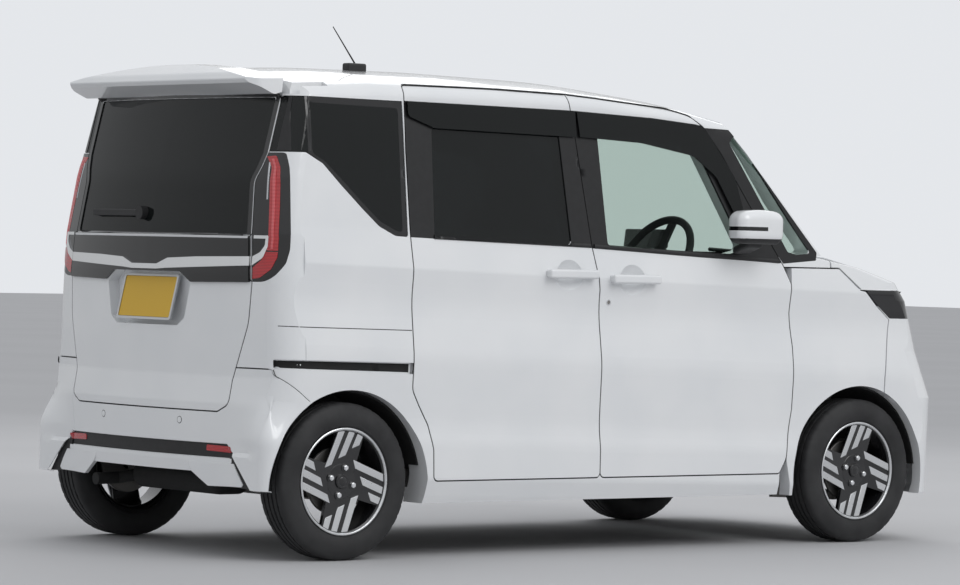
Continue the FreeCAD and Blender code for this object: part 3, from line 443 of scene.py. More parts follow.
def healed(places, triangles, way):
    """Lifts the points that fell into a gap to the level of their neighbours."""
    friends = {}
    for triangle in triangles:
        for i in triangle:
            friends.setdefault(i, set()).update(k for k in triangle if k != i)
    for _ in range(6):
        depth = [place.dot(way) for place in places]
        for i, near in friends.items():
            level = sorted(depth[k] for k in near)[len(near) // 2]
            if depth[i] - level > GAP_DEPTH:
                places[i] = places[i] - way * (depth[i] - level)
    return places


def shell(name, places, triangles, way, body, material, slot, lift, depth, bevel):
    """A closed thin solid from a draped sheet: lift above the surface and depth thick, in millimetres."""
    normals = [Vector((0, 0, 0)) for _ in places]
    for triangle in triangles:
        a, b, c = (places[i] for i in triangle[:3])
        normal = (b - a).cross(c - a)
        if normal.dot(way) > 0:
            normal = -normal
        for i in triangle:
            normals[i] += normal
    normals = [n.normalized() if n.length > 0 else -way for n in normals]
    top = [p + n * lift * MM for p, n in zip(places, normals)]
    low = [p + n * (lift - depth) * MM for p, n in zip(places, normals)]
    count = len(places)
    faces, sides = [], {}
    for triangle in triangles:
        faces.append(triangle)
        faces.append([i + count for i in reversed(triangle)])
        for i in range(len(triangle)):
            pair = (triangle[i - 1], triangle[i])
            if (pair[1], pair[0]) in sides:
                del sides[(pair[1], pair[0])]
            else:
                sides[pair] = True
    for a, b in sides:
        faces.append([b, a, a + count, b + count])
    return finish_mesh(name, top + low, faces, body, material, slot, 35.0, bevel)


def ring_faces(rings, size, closed=False):
    """Faces that join rings of size points each, back to the first ring if closed, else with two ends."""
    faces = []
    for i in range(rings if closed else rings - 1):
        j = (i + 1) % rings
        for k in range(size):
            m = (k + 1) % size
            faces.append([i * size + k, i * size + m, j * size + m, j * size + k])
    if not closed:
        faces += [list(range(size)), [(rings - 1) * size + k for k in reversed(range(size))]]
    return faces


def grid_faces(rows, wide):
    """Four-sided faces over so many rows of wide points each."""
    return [[i * wide + k, i * wide + k + 1, (i + 1) * wide + k + 1, (i + 1) * wide + k]
            for i in range(rows - 1) for k in range(wide - 1)]


def along_line(line, closed=False):
    """Each point of a polyline with the direction square to the line there."""
    count = len(line)
    for i, spot in enumerate(line):
        before = line[i - 1] if i or closed else spot
        after = line[(i + 1) % count] if i < count - 1 or closed else spot
        along = (after - before).normalized()
        yield spot, Vector((-along.y, along.x))


# a bar's section as shares of its half width and of its height
BAR_SECTION = ((-1, -0.6), (-1, 0.25), (-0.85, 0.7), (-0.5, 1), (0.5, 1), (0.85, 0.7), (1, 0.25), (1, -0.6))
STRIP_STEP = 12.0


def strip(name, body, material, slot, face, points, names, width, proud):
    """A bar that follows the body's surface along a line."""
    line, tree = rounded(points, False, STRIP_STEP), surface_tree(names)
    places = []
    for spot, side in along_line(line):
        for out, up in BAR_SECTION:
            place, normal = land(tree, face, *(spot + side * out * width / 2))
            places.append(place + normal * up * proud * MM)
    return finish_mesh(name, places, ring_faces(len(line), len(BAR_SECTION)), body, material, slot, 40.0)


# how far each side of a shut line is sampled, the dark filler's depth, and the largest step across in metres
SEAM_REACH = 7.0
SEAM_DEPTH = 3
SEAM_STEP = 0.01


def seam(name, body, face, points, names, closed=False, width=4.4, low=2.2):
    """The dark filler at the foot of a shut line, between the two panels that it parts: partly rubber, partly
    painted shade that darkens the gap.
    """
    line = rounded(points, closed, STRIP_STEP)
    tree, (outside, way) = surface_tree(names), FACES[face]
    places = []
    for spot, side in along_line(line, closed):
        start = outside(*spot)
        lands = [land(tree, face, *(spot + side * reach)) for reach in (-SEAM_REACH, SEAM_REACH)]
        depths = [(place - start).dot(way) for place, _ in lands]
        deep = sum(depths) / 2 if abs(depths[0] - depths[1]) < SEAM_STEP else min(depths)
        normal = (lands[0][1] + lands[1][1]).normalized()
        for out, under in ((-1, 0), (1, 0), (1, SEAM_DEPTH), (-1, SEAM_DEPTH)):
            edge = outside(*(spot + side * out * width / 2))
            places.append(edge + way * deep - normal * (low + under) * MM)
    # the filler's near black is painted shade in the gap as well as rubber
    return finish_mesh(name, places, ring_faces(len(line), 4, closed), body, SEAL_AND_SHADE, "black", 35.0)


dress_cad()

# Helpers for built-up meshes


def lathe(profile, steps, spot, dip=None):
    """Vertices and faces of a closed (outward, radius) profile turned about a wheel's axis."""
    places = []
    for i in range(steps):
        angle = 2 * math.pi * i / steps
        for k, (out, radius) in enumerate(profile):
            radius -= dip(i, k) if dip else 0
            places.append(spot(out, radius * math.sin(angle), radius * math.cos(angle)))
    return places, ring_faces(steps, len(profile), True)


def slab(points, low, high, spot):
    """Vertices and faces of an outline (a, b) between two levels, which may be functions of (a, b)."""
    levels = [level if callable(level) else (lambda a, b, level=level: level) for level in (low, high)]
    return [spot(level(a, b), a, b) for level in levels for a, b in points], ring_faces(2, len(points))


def joined(parts):
    places, faces = [], []
    for more, shapes in parts:
        faces += [[i + len(places) for i in face] for face in shapes]
        places += more
    return places, faces


def ring_points(count, radius, middle=(0, 0)):
    turns = [2 * math.pi * i / count for i in range(count)]
    return [(middle[0] + radius * math.sin(turn), middle[1] + radius * math.cos(turn)) for turn in turns]


def box_outline(half, tall, corner):
    """A rounded rectangle about (0, 0)."""
    corners = ((-half, -tall), (half, -tall), (half, tall), (-half, tall))
    return rounded([(*point, corner) for point in corners])


def smooth(share):
    return share * share * (3 - 2 * share)


def inwards(sign, x, y, z=0.0):
    """A vector whose X points to the car's middle from the side that sign names."""
    return Vector((-sign * x, y, z))


# Tyres and wheels: outward, forward and up of each hub

TREAD = [(49.5, 184.3), (58, 187), (65, 193), (67, 196), (69, 197), (74, 208), (76.5, 218), (77.5, 228),
         (76.8, 240), (74.5, 250), (71.5, 259), (69, 265), (66, 270), (61, 274.5), (54, 277), (46, 277.8),
         (40, 278), (39, 271.5), (33, 271.5), (32, 278.2), (24, 278.4), (16, 278.5), (15, 271), (8, 271),
         (7, 278.5)]
SHOULDER = range(11, 17)
MIDDLE_BLOCKS = range(19, 22)
BARS = ((6, 130), (-33, 77), (-76, 25))
BAR_HALF = 12.5
BAR_REACH = 179.0
LEAN = math.radians(22)
LUG_RADIUS = 50.0
LUG_START = math.radians(16)
# a wheel nut and its seat: corners, radius, inner and outer end
NUT = ((6, 10.5, 46, 58), (16, 7.5, 58, 61))
NUT_SEAT = ((24, 15.5, 46, 51.5),)
# (along, across) corners of a spoke's dark back; along is the rim where it is None
SPOKE_BACK = ((10, 44), (None, 24), (None, -32), (None, -92), (60, -78), (0, -58))
# profiles (outward, radius) turned about the wheel's axis
INNER_TYRE = [(-56, 215), (-52, 262), (52, 262), (56, 215)]
BARREL = [(61, 180), (58, 176), (40, 172), (-44, 166), (-60, 176), (-66, 186), (-62, 187), (-56, 181),
          (-40, 173), (40, 180), (56, 184), (60, 187)]
HUB = [(22, 0.5), (22, 60), (44, 66), (49, 60), (50, 30), (50, 0.5)]
RIM_EDGE = [(58, 181.5), (63, 180), (67.5, 183), (68, 187), (66.5, 190), (60, 189), (60, 184)]
CAP = [(48, 0.5), (48, 27), (55, 27), (58, 25), (59, 20), (58, 17), (60, 12), (60.6, 0.5)]
DISC = [(8, 30), (8, 116), (6, 118), (-4, 118), (-6, 116), (-6, 30)]
# how far the tread's shoulder and middle grooves dip
SHOULDER_DIP = 1.8
MIDDLE_DIP = 1.6


def below_face(depth):
    """Levels this deep under the wheel's face, which stands further out towards the rim."""
    return lambda a, b: 47 + 12 * (math.hypot(a, b) / BAR_REACH) ** 2 - depth


def turned(t, n, quarter):
    a = t * math.sin(LEAN) + n * math.cos(LEAN)
    b = t * math.cos(LEAN) - n * math.sin(LEAN)
    for _ in range(quarter):
        a, b = b, -a
    return a, b


def arc_reach(n):
    return math.sqrt(BAR_REACH * BAR_REACH - n * n)


def add_wheel(corner, sign, y):
    """One tyre and its two-finish wheel with nuts, cap and brake disc; a left one is turned about."""

    def spot(out, forward, up):
        return put(sign * (WHEEL_MIDDLE + out), y + sign * forward, TYRE_RADIUS + up)

    body = "wheel_" + corner
    section = TREAD + [(-out, radius) for out, radius in reversed(TREAD)] + INNER_TYRE
    last = 2 * len(TREAD) - 1

    def dip(i, k):
        k = min(k, last - k)
        if k in SHOULDER and i % 6 == 0:
            return SHOULDER_DIP
        return MIDDLE_DIP if k in MIDDLE_BLOCKS and i % 6 == 3 else 0

    tyre = finish_mesh("tyre_mesh_" + corner, *lathe(section, 240, spot, dip), body, RUBBER, "tyre", 32.0)
    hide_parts("tyre_" + corner)
    parts = [lathe(BARREL, 96, spot), lathe(HUB, 64, spot)]
    for quarter in range(4):
        back = [turned(arc_reach(n) if t is None else t, n, quarter) for t, n in SPOKE_BACK]
        parts.append(slab(back, below_face(20), below_face(3), spot))
    rim = finish_mesh("wheel_mesh_" + corner, *joined(parts), body, WHEEL_BLACK, "alloy", 32.0, 1.2)
    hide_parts("wheel_" + corner)
    parts = [lathe(RIM_EDGE, 120, spot)]
    for quarter in range(4):
        for middle, start in BARS:
            low, high = middle - BAR_HALF, middle + BAR_HALF
            bar = [turned(t, n, quarter) for t, n in ((start - 8, low), (arc_reach(low), low),
                                                      (arc_reach(middle), middle), (arc_reach(high), high),
                                                      (start + 14, high))]
            parts.append(slab(bar, below_face(8), below_face(0), spot))
    finish_mesh("wheel_bars_" + corner, *joined(parts), body, MACHINED, "alloy", 32.0, 0.8)
    nuts, parts = [], [lathe(CAP, 48, spot)]
    for quarter in range(4):
        angle = LUG_START + quarter * math.pi / 2
        middle = (LUG_RADIUS * math.sin(angle), LUG_RADIUS * math.cos(angle))
        for pieces, sizes in ((nuts, NUT), (parts, NUT_SEAT)):
            for count, radius, low, high in sizes:
                pieces.append(slab(ring_points(count, radius, middle), low, high, spot))
    finish_mesh("wheel_nuts_" + corner, *joined(nuts), body, CHROME, "steel", 32.0, 0.8)
    finish_mesh("wheel_cap_" + corner, *joined(parts), body, PIANO, "alloy", 32.0, 0.4)
    finish_mesh("brake_disc_" + corner, *lathe(DISC, 72, spot), body, STEEL, "steel", 32.0)


for corner, sign, y in (("front_right", -1, -HALF_WHEELBASE), ("front_left", 1, -HALF_WHEELBASE),
                        ("rear_right", -1, HALF_WHEELBASE), ("rear_left", 1, HALF_WHEELBASE)):
    add_wheel(corner, sign, y)

# Black window surrounds and belt mouldings on both sides, in (Y, Z)

FRONT_PANE = [(78, 1540, 20), (48, 1128, 20), (-560, 1110, 30), (-640, 1128, 20), (-560, 1262, 60),
              (-430, 1480, 60), (-350, 1540, 60)]
SLIDE_PANE = [(858, 1540, 20), (864, 1140, 20), (222, 1128, 20), (262, 1538, 20)]
CORNER_PANE = [(-583, 1530, 10), (-612, 1560, 10), (-700, 1462), (-880, 1240), (-985, 1118, 12),
               (-905, 1112, 10), (-862, 1122), (-735, 1305)]
QUARTER_VIEW = [(1390, 1606, 12), (1004, 1600, 12), (1004, 1158, 20), (1036, 1165, 40), (1104, 1197, 60),
                (1172, 1255, 60), (1263, 1337, 60), (1336, 1401, 50), (1390, 1428, 30)]
FRONT_SURROUND = [(197.0, 1624), (-200, 1611.4), (-425, 1595.4, 20), (-473.9, 1563, 20), (-550, 1470),
                  (-671.9, 1294), (-811.9, 1096), (-824.9, 1078.6, 4), (-405, 1094.6), (122.4, 1118.6)]
SLIDE_SURROUND = [(126.6, 1119.6), (201.1, 1624), (974.4, 1628), (976.3, 1452), (970.3, 1142.6)]
QUARTER_FRIT = [(1408, 1629, 6), (987, 1623.5, 4), (985, 1146, 10), (1040, 1149, 40), (1108, 1181, 60),
                (1178, 1240, 60), (1269, 1322, 60), (1346, 1396, 50), (1408, 1430)]
PILLAR_SURROUND = [(-462.6, 1584), (-588, 1581), (-1015, 1122, 14), (-1010, 1092, 10), (-834, 1077.6, 4),
                   (-809.2, 1108), (-665.4, 1311), (-544.2, 1486)]
# a surround stands this proud, goes this deep, and reaches this far over its pane
PROUD, DEEP, OVERLAP = 0.6, 9.0, -0.5
FRONT_BELT = [(-826, 1086), (-405, 1104), (116, 1127)]
SLIDE_BELT = [(134, 1128), (866, 1146)]
RAIL_SLOT = [(980, 663), (1532, 678, 4), (1532, 703, 4), (1415, 702), (980, 693)]
PANEL_SEAM = [(972, 812), (1410, 820), (1530, 823)]
# the rear pillar's frit: lowest and highest row, rows, where its ends lie, and where its rays start
FRIT_LOW, FRIT_HIGH, FRIT_ROWS = 1434.5, 1626.5, 15
FRIT_SIDE, FRIT_BACK = (1396.0, 1430.0), (600.0, 570.5)
START_X, START_Y = 900.0, 1800.0
CORNER_MIDDLE = (622.0, 1454.6)
CORNER_START = 300
CORNER_TURNS = 12
# a ray's place further than this from the last one missed the glass, in metres
FRIT_JUMP = 0.06
SMOOTHINGS = 12
CAR = "car_body"


def add_pillar_frit(side, sign):
    """The dark band of the quarter glass round the body's rear corner, laid on the glass."""
    tree = surface_tree(["fixed_side_glass", "side_frame_" + side])
    starts = [(START_X, y, -1.0, 0.0) for y in FRIT_SIDE]
    for k in range(CORNER_TURNS + 1):
        angle = math.radians(90 * k / CORNER_TURNS)
        x, y = math.cos(angle), math.sin(angle)
        starts.append((CORNER_MIDDLE[0] + CORNER_START * x, CORNER_MIDDLE[1] + CORNER_START * y, -x, -y))
    starts += [(x, START_Y, 0.0, -1.0) for x in FRIT_BACK]
    wide, places = len(starts), []
    for i in range(FRIT_ROWS):
        height = FRIT_LOW + (FRIT_HIGH - FRIT_LOW) * i / (FRIT_ROWS - 1)
        last = None
        for x, y, dx, dy in starts:
            place = tree.ray_cast(put(sign * x, y, height), Vector((sign * dx, dy, 0)))[0]
            if place is None or (last is not None and (place - last).length > FRIT_JUMP):
                place = last.copy()
            last = place
            places.append(place)
    for _ in range(SMOOTHINGS):
        for i in range(wide, len(places) - wide):
            places[i] = places[i] * 0.4 + (places[i - wide] + places[i + wide]) * 0.3
        for i in range(len(places)):
            if 0 < i % wide < wide - 1:
                places[i] = places[i] * 0.6 + (places[i - 1] + places[i + 1]) * 0.2
    shell("pillar_frit_" + side, places, grid_faces(FRIT_ROWS, wide), inwards(sign, 0.7, -0.7), CAR, SASH,
          "black", 2.0, 3.0, 0.0)


for side, sign in SIDES:
    door, slide, walls = "front_door_" + side, "sliding_door_" + side, "side_frame_" + side
    for name, body, outline, near, pane, step in (("front", door, FRONT_SURROUND, door, FRONT_PANE, 30.0),
                                                  ("slide", CAR, SLIDE_SURROUND, slide, SLIDE_PANE, 30.0),
                                                  ("pillar", CAR, PILLAR_SURROUND, walls, CORNER_PANE, 14.0)):
        patch(name + "_surround_" + side, body, SASH, "black", side, outline, [near], PROUD, DEEP,
              [grown(pane, OVERLAP)], step)
    patch("quarter_frit_" + side, CAR, PIANO, "black", side, QUARTER_FRIT, ["fixed_side_glass"], 0.5, 1.5,
          [QUARTER_VIEW])
    add_pillar_frit(side, sign)
    strip("front_belt_" + side, door, TRIM, "black", side, FRONT_BELT, [door], 16, 6.0)
    strip("slide_belt_" + side, CAR, TRIM, "black", side, SLIDE_BELT, [slide], 16, 6.0)
    # the sliding door's rail slot, its dark patch painted shade in the slot, and the seam above it, a dark line
    # painted as the shade in its gap
    patch("rail_slot_shade_" + side, CAR, LINER_AND_SHADE, "black", side, RAIL_SLOT, [walls], 0.6, 1.0)
    strip("panel_seam_" + side, CAR, SEAL_AND_SHADE, "black", side, PANEL_SEAM, [walls], 3.0, 0.5)

# Shut lines, their gaps darkened with fillers that are partly rubber and partly painted shade

FRONT_SHUT = [(-813, 275, 20), (-846, 330, 60), (-875, 520), (-877, 759), (-864, 890), (-869, 1001, 20),
              (-832, 1073), (-802, 1114), (-664, 1309), (-543, 1484), (-458, 1586, 60), (-391, 1630, 60),
              (-277, 1654, 200), (-50, 1668, 200), (208, 1685), (125, 1124), (93, 966, 60), (88, 275, 20)]
SLIDE_SHUT = [(208, 1685), (520, 1690, 300), (974, 1688, 20), (978, 1452), (972, 1143), (966, 1000),
              (968, 601, 60), (938, 548, 60), (893, 476, 90), (870, 387, 60), (866, 275, 20), (88, 275)]
GATE_SHUT = [(566, 1636), (566, 1424, 6), (553, 1376, 80), (531, 1327, 60), (550, 1166, 300), (568, 972, 6),
             (558, 830, 200), (492, 633, 80), (491, 544, 30), (439, 518, 20)]
BUMPER_SHUT = [(1545, 671), (1541, 650, 12), (1426, 566, 30), (1390, 542)]
BUMPER_TOP = [(500, 670.7), (655, 670.7)]
for side, sign in SIDES:
    near = ["front_door_" + side, "sliding_door_" + side, "side_frame_" + side, "front_wings"]
    seam("front_shut_" + side, CAR, side, FRONT_SHUT, near, True)
    seam("slide_shut_" + side, CAR, side, SLIDE_SHUT, near)
    near = ["side_frame_" + side, "rear_bumper"]
    seam("bumper_shut_" + side, CAR, side, BUMPER_SHUT, near, width=2.2, low=0.6)
    seam("bumper_top_" + side, CAR, "back", flipped(BUMPER_TOP, sign), near, width=2.2, low=0.6)
BEHIND = ["tailgate", "tailgate_garnish", "side_frame_right", "side_frame_left", "tail_lamps",
          "fixed_side_glass", "rear_bumper"]
seam("gate_shut", CAR, "back", both_halves(GATE_SHUT), BEHIND)

# Tailgate: black glass surround, garnish chrome, plate

GATE_PANE = both_halves([(-545, 1622, 10), (-545, 1425, 20), (-532, 1376, 60), (-511, 1327, 60),
                         (-530, 1166, 200), (-532, 1140, 10)])
GATE_SURROUND = both_halves([(-564.3, 1634), (-564.3, 1425, 6), (-551.3, 1376, 80), (-529.3, 1327, 60),
                             (-548.3, 1166, 300), (-551, 1137)])
patch("gate_surround", "tailgate", PIANO, "black", "back", GATE_SURROUND, ["tailgate"], PROUD, DEEP,
      [grown(GATE_PANE, OVERLAP)])
GARNISH = ["tailgate_garnish", "tailgate"]
line = [(-551, 1130), (551, 1130)]
strip("garnish_chrome_high", "tailgate", CHROME, "lamp", "back", line, GARNISH, 11, 5.0)
CHROME_LOW = [(-560, 1062), (-300, 1057), (-142, 1050, 16), (-78, 1028, 16), (78, 1028, 16), (142, 1050, 16),
              (300, 1057), (560, 1062), (561, 1030), (140, 1014, 30), (78, 1010, 20), (-78, 1010, 20),
              (-140, 1014, 30), (-561, 1030)]
patch("garnish_chrome_low", "tailgate", CHROME, "lamp", "back", CHROME_LOW, GARNISH, 6.0, 6.0, bevel=2.0)

# Plates: the frame's border and height, and the plate's two faces
FRAME_WIDE = 9
PLATE_LOW, PLATE_HIGH = 4.2, 6.0


def add_plate(name, body, middle, width, height, lean, sense, tone):
    """A blank plate in a silver frame; lean is how far its top lies further in than its foot."""

    def spot(out, a, b):
        return put(middle[0] + a, middle[1] + sense * (out - lean * b / height), middle[2] + b)

    half, tall = width / 2, height / 2
    inner = box_outline(half, tall, 8)
    outer = [(a * (1 + FRAME_WIDE / half), b * (1 + FRAME_WIDE / tall)) for a, b in inner]
    rings = ((0, outer), (FRAME_WIDE, outer), (FRAME_WIDE, inner), (4, inner))
    places = [spot(out, *point) for out, ring in rings for point in ring]
    faces = ring_faces(len(rings), len(outer))
    finish_mesh(name + "_frame", places, faces, body, SATIN, "lamp", 35.0, 0.8)
    face = [(a * 0.995, b * 0.99) for a, b in inner]
    finish_mesh(name, *slab(face, PLATE_LOW, PLATE_HIGH, spot), body, tone, "lamp", 35.0, 0.4)


add_plate("number_plate", "tailgate", (0, 1606, 910), 324, 146, 34, 1, PLATE)

# Tail lamps: red light bar, red foot, silver ribs and the chrome hook, in (distance from the middle, Z)

LIGHT_BAR = [(566, 1413), (600, 1376, 40), (603, 1328), (616, 1247), (633, 1127), (629, 1084), (672, 1084),
             (671, 1128), (657, 1248), (645, 1328), (635, 1376, 40), (610, 1416, 10)]
LIGHT_CORE = [(592, 1404), (612, 1376, 40), (616, 1328), (630, 1247), (646, 1127), (646, 1090), (656, 1090),
              (656, 1128), (642, 1248), (630, 1328), (622, 1376, 40), (604, 1406, 6)]
LIGHT_FOOT = [(629, 1080), (606, 1049, 20), (571, 1024), (571, 984), (606, 988, 20), (654, 1018, 30),
              (672, 1060, 20), (672, 1080)]
LAMP_HOOK = [(569, 1136), (637, 1136, 6), (637, 1096, 30), (618, 1058, 30), (569, 1030), (569, 1062),
             (603, 1077, 20), (623, 1101, 15), (624, 1125), (569, 1125)]
LAMP_RIBS = [(585, 1392), (594, 1330), (603, 1262)]
REFLECTOR_BAND = [(382, 376, 6), (512, 374, 6), (508, 395, 6), (384, 397, 6)]
# name, finish, outline, how proud, how deep and the edge's bevel
LAMP_PIECES = (("light_bar_", RED_BAR, LIGHT_BAR, 1.5, 2.5, 0.5),
               ("light_core_", RED_CORE, LIGHT_CORE, 3.0, 2.5, 0.5),
               ("light_foot_", RED, LIGHT_FOOT, 1.5, 2.5, 0.5),
               ("lamp_hook_", CHROME, LAMP_HOOK, 5.0, 5.0, 1.5))
SENSORS, SENSOR_HEIGHT = (242, 526), 478
for side, sign in SIDES:
    for name, finish, outline, proud, deep, bevel in LAMP_PIECES:
        patch(name + side, CAR, finish, "lamp", "back", flipped(outline, sign), ["tail_lamps"], proud, deep,
              step=14.0, bevel=bevel)
    strip("lamp_ribs_" + side, CAR, REFLECTOR, "lamp", "back", flipped(LAMP_RIBS, sign), ["tail_lamps"],
          7.0, 2.0)
    patch("rear_reflector_" + side, CAR, RED, "lamp", "back", flipped(REFLECTOR_BAND, sign), ["rear_bumper"],
          3.0, 4.0)
    for k, across in enumerate(SENSORS):
        for name, finish, radius, proud, deep, bevel in (("sensor", WHITE, 11, 1.2, 2.0, 0.4),
                                                         ("sensor_ring", SEAL_AND_SHADE, 13, 0.4, 1.0, 0.0)):
            disc = ring_points(24, radius, (sign * across, SENSOR_HEIGHT))
            patch("%s_%d_%s" % (name, k, side), CAR, finish, "body", "back", disc, ["rear_bumper"],
                  proud, deep, bevel=bevel)
INSET_BAND = both_halves([(-488, 403, 8), (-529, 361, 20), (-640, 252), (-616, 250), (-549, 316, 20),
                          (-523, 355, 8)])
patch("bumper_band", CAR, TRIM, "black", "back", INSET_BAND, ["rear_bumper"], 0.6, 1.0, bevel=0.0)

# Rear bumper corners: a white skin over the rounded corner, from the wheel arch to the dark band
CORNER_TOP = 580.0
CORNER_FADE = 410.0
CORNER_SIDE = 736.0
CORNER_BACK = 1606.0
CORNER_ROUND = 48.0
# the wheel arch's middle (Y, Z) and radius, and the shut line above it
ARCH_Y, ARCH_Z, ARCH_RADIUS = 1239.5, 254.0, 347.0
SHUT_Z, SHUT_Y, SHUT_SLOPE = 566.0, 1441.0, 1.369
# the edge against the dark band: lowest Z and distance from the middle, then the same for the top
BAND_EDGE = ((250.0, 645.0, 365.0, 531.0), (365.0, 531.0, 405.0, 500.0), (405.0, 470.0, 510.0, 497.0))
# the skin's rows, and the height above which it fades towards the band
CORNER_HEIGHTS = [250.0 + 14.0 * i for i in range(23)] + [569.0, CORNER_TOP]
CORNER_FULL = 365.0
# in metres: how far off the body is looked for, how proud the skin stands, and how its front and foot turn in
CORNER_LOOK = 0.08
CORNER_PROUD = 0.0008
FRONT_RETURN = (0.014, 0.002)
FOOT_RETURN = (0.01, -0.022, -0.004)


def band_edge(height):
    for low, from_middle, high, at_top in BAND_EDGE:
        if height < high:
            return from_middle + (at_top - from_middle) * (height - low) / (high - low)
    return BAND_EDGE[-1][3]


def corner_path(height):
    """Points (x, y) with outward directions, from the wheel arch round the corner to the dark band."""
    start = ARCH_Y + math.sqrt(ARCH_RADIUS ** 2 - (min(height, SHUT_Z) - ARCH_Z) ** 2)
    if height > SHUT_Z - 6:
        start = max(start, SHUT_Y + (height - SHUT_Z) * SHUT_SLOPE)
    x, y = CORNER_SIDE - CORNER_ROUND, CORNER_BACK - CORNER_ROUND
    if start < y:
        first = 0.0
        points = [(CORNER_SIDE, start + (y - start) * k / 6, 1.0, 0.0) for k in range(6)]
    else:
        first = math.asin(min(1.0, (start - y) / CORNER_ROUND))
        points = [(x + CORNER_ROUND * math.cos(first), y + CORNER_ROUND * math.sin(first), 1.0, 0.0)] * 6
    for k in range(11):
        angle = first + (math.pi / 2 - first) * k / 10
        out_x, out_y = math.cos(angle), math.sin(angle)
        points.append((x + CORNER_ROUND * out_x, y + CORNER_ROUND * out_y, out_x, out_y))
    return points + [(x + (band_edge(height) - x) * k / 6, CORNER_BACK, 0.0, 1.0) for k in range(1, 7)]


def add_bumper_corner(side, sign):
    tree = surface_tree(["side_frame_" + side, "rear_bumper"])
    rows = []
    for height in CORNER_HEIGHTS:
        rise = smooth(max(0.0, min(1.0, (CORNER_TOP - height) / (CORNER_TOP - CORNER_FADE))))
        path, skin, row = corner_path(height), 0.0, []
        for k, (x, y, out_x, out_y) in enumerate(path):
            place, out = put(sign * x, y, height), Vector((sign * out_x, out_y, 0))
            hit = tree.ray_cast(place + out * CORNER_LOOK, -out, 2 * CORNER_LOOK)[0]
            share = rise * (smooth(min(1.0, (len(path) - 1 - k) / 6)) if height > CORNER_FULL else 1.0)
            if hit is not None:
                skin = (hit - place).dot(out) + CORNER_PROUD
            elif rise > 0.95:
                skin = 0.0
            row.append(place + out * (max(0.0, skin) * share + skin * (1 - share)))
        rows.append([row[0] + inwards(sign, *FRONT_RETURN)] + row)
    rows.insert(0, [place + inwards(sign, *FOOT_RETURN) for place in rows[0]])
    places = [place for row in rows for place in row]
    shell("bumper_corner_" + side, places, grid_faces(len(rows), len(rows[0])), inwards(sign, 0.7, -0.7), CAR,
          WHITE, "body", 0.0, 3.0, 0.0)


for side, sign in SIDES:
    add_bumper_corner(side, sign)

# Lower lip of the rear bumper, carried down beside the wheels
LIP_FILL = [(296, 322), (312, 300, 10), (392, 252, 12), (572, 256, 6), (582, 266), (530, 336), (296, 338)]
LIP_LEG = [(498, 372), (534, 372), (650, 250), (566, 252), (508, 340)]
# the bumper's face is read here, and the lip turns under below LIP_BEND
LIP_FACE_X, LIP_FACE_Z = 500, 334
LIP_BEND, LIP_SLOPE = 300, 0.12
for side, sign in SIDES:
    tree = surface_tree(["rear_bumper"])

    def lip_spot(level, a, b):
        face = land(tree, "back", sign * min(a, LIP_FACE_X), LIP_FACE_Z)[0]
        return put(sign * a, face.y / MM - ORIGIN_SHIFT + level - max(0.0, LIP_BEND - b) * LIP_SLOPE, b)

    lip, leg = slab(rounded(LIP_FILL), -16, 0.8, lip_spot), slab(rounded(LIP_LEG), -16, -1.6, lip_spot)
    finish_mesh("bumper_lip_" + side, *lip, CAR, WHITE, "body", 30.0, 1.5)
    finish_mesh("bumper_leg_" + side, *leg, CAR, TRIM, "black", 30.0, 1.0)

# Rounded blocks: folded mirrors, cushions, backrests and head restraints


BEND_ANGLES = (11.25, 22.5, 33.75, 45)
NEAR_LINES = (-9, -5, -2.5, 0, 2.5, 5, 9)
LEAST_PITCH = 1.2


def block_lines(half, radius, extra, pitch):
    """Grid lines along one axis of a rounded block, close on its rounds and beside each extra line."""
    inner = half - radius
    bends = [inner + radius * math.tan(math.radians(angle)) for angle in BEND_ANGLES]
    count = max(2, math.ceil(2 * inner / pitch))
    flat = [-inner + 2 * inner * i / count for i in range(count + 1)]
    near = [at + reach for at in extra for reach in NEAR_LINES]
    kept = []
    for line in sorted([-bend for bend in bends] + flat + near + bends):
        if not kept or line - kept[-1] > LEAST_PITCH:
            kept.append(line)
    kept[-1] = half
    return kept


def rounded_block(half, radius, extra, pitch, shape):
    """Vertices and faces of a rounded block about its own middle, each point then placed by shape(point)."""
    grids = [block_lines(half[k], radius, extra[k], pitch) for k in range(3)]
    places, faces = [], []
    for axis in range(3):
        u, v = [k for k in range(3) if k != axis]
        for end in (-1, 1):
            base, wide = len(places), len(grids[v])
            for a in grids[u]:
                for b in grids[v]:
                    spot = Vector((0, 0, 0))
                    spot[axis], spot[u], spot[v] = end * half[axis], a, b
                    core = Vector([max(radius - half[k], min(half[k] - radius, spot[k])) for k in range(3)])
                    places.append(put(*shape(core + (spot - core).normalized() * radius)))
            faces += [[base + i for i in face] for face in grid_faces(len(grids[u]), wide)]
    return places, faces


# depth and half width of a pad's sewn channels, edge seams and side seam, and how far its sides pull in
CHANNEL_DEEP, EDGE_DEEP, CHANNEL_HALF = 7.0, 4.5, 4.0
SIDE_SEAM_DEEP, SIDE_SEAM_HALF = 3.0, 3.5
PULL = 0.04
PAD_PITCH = 26.0


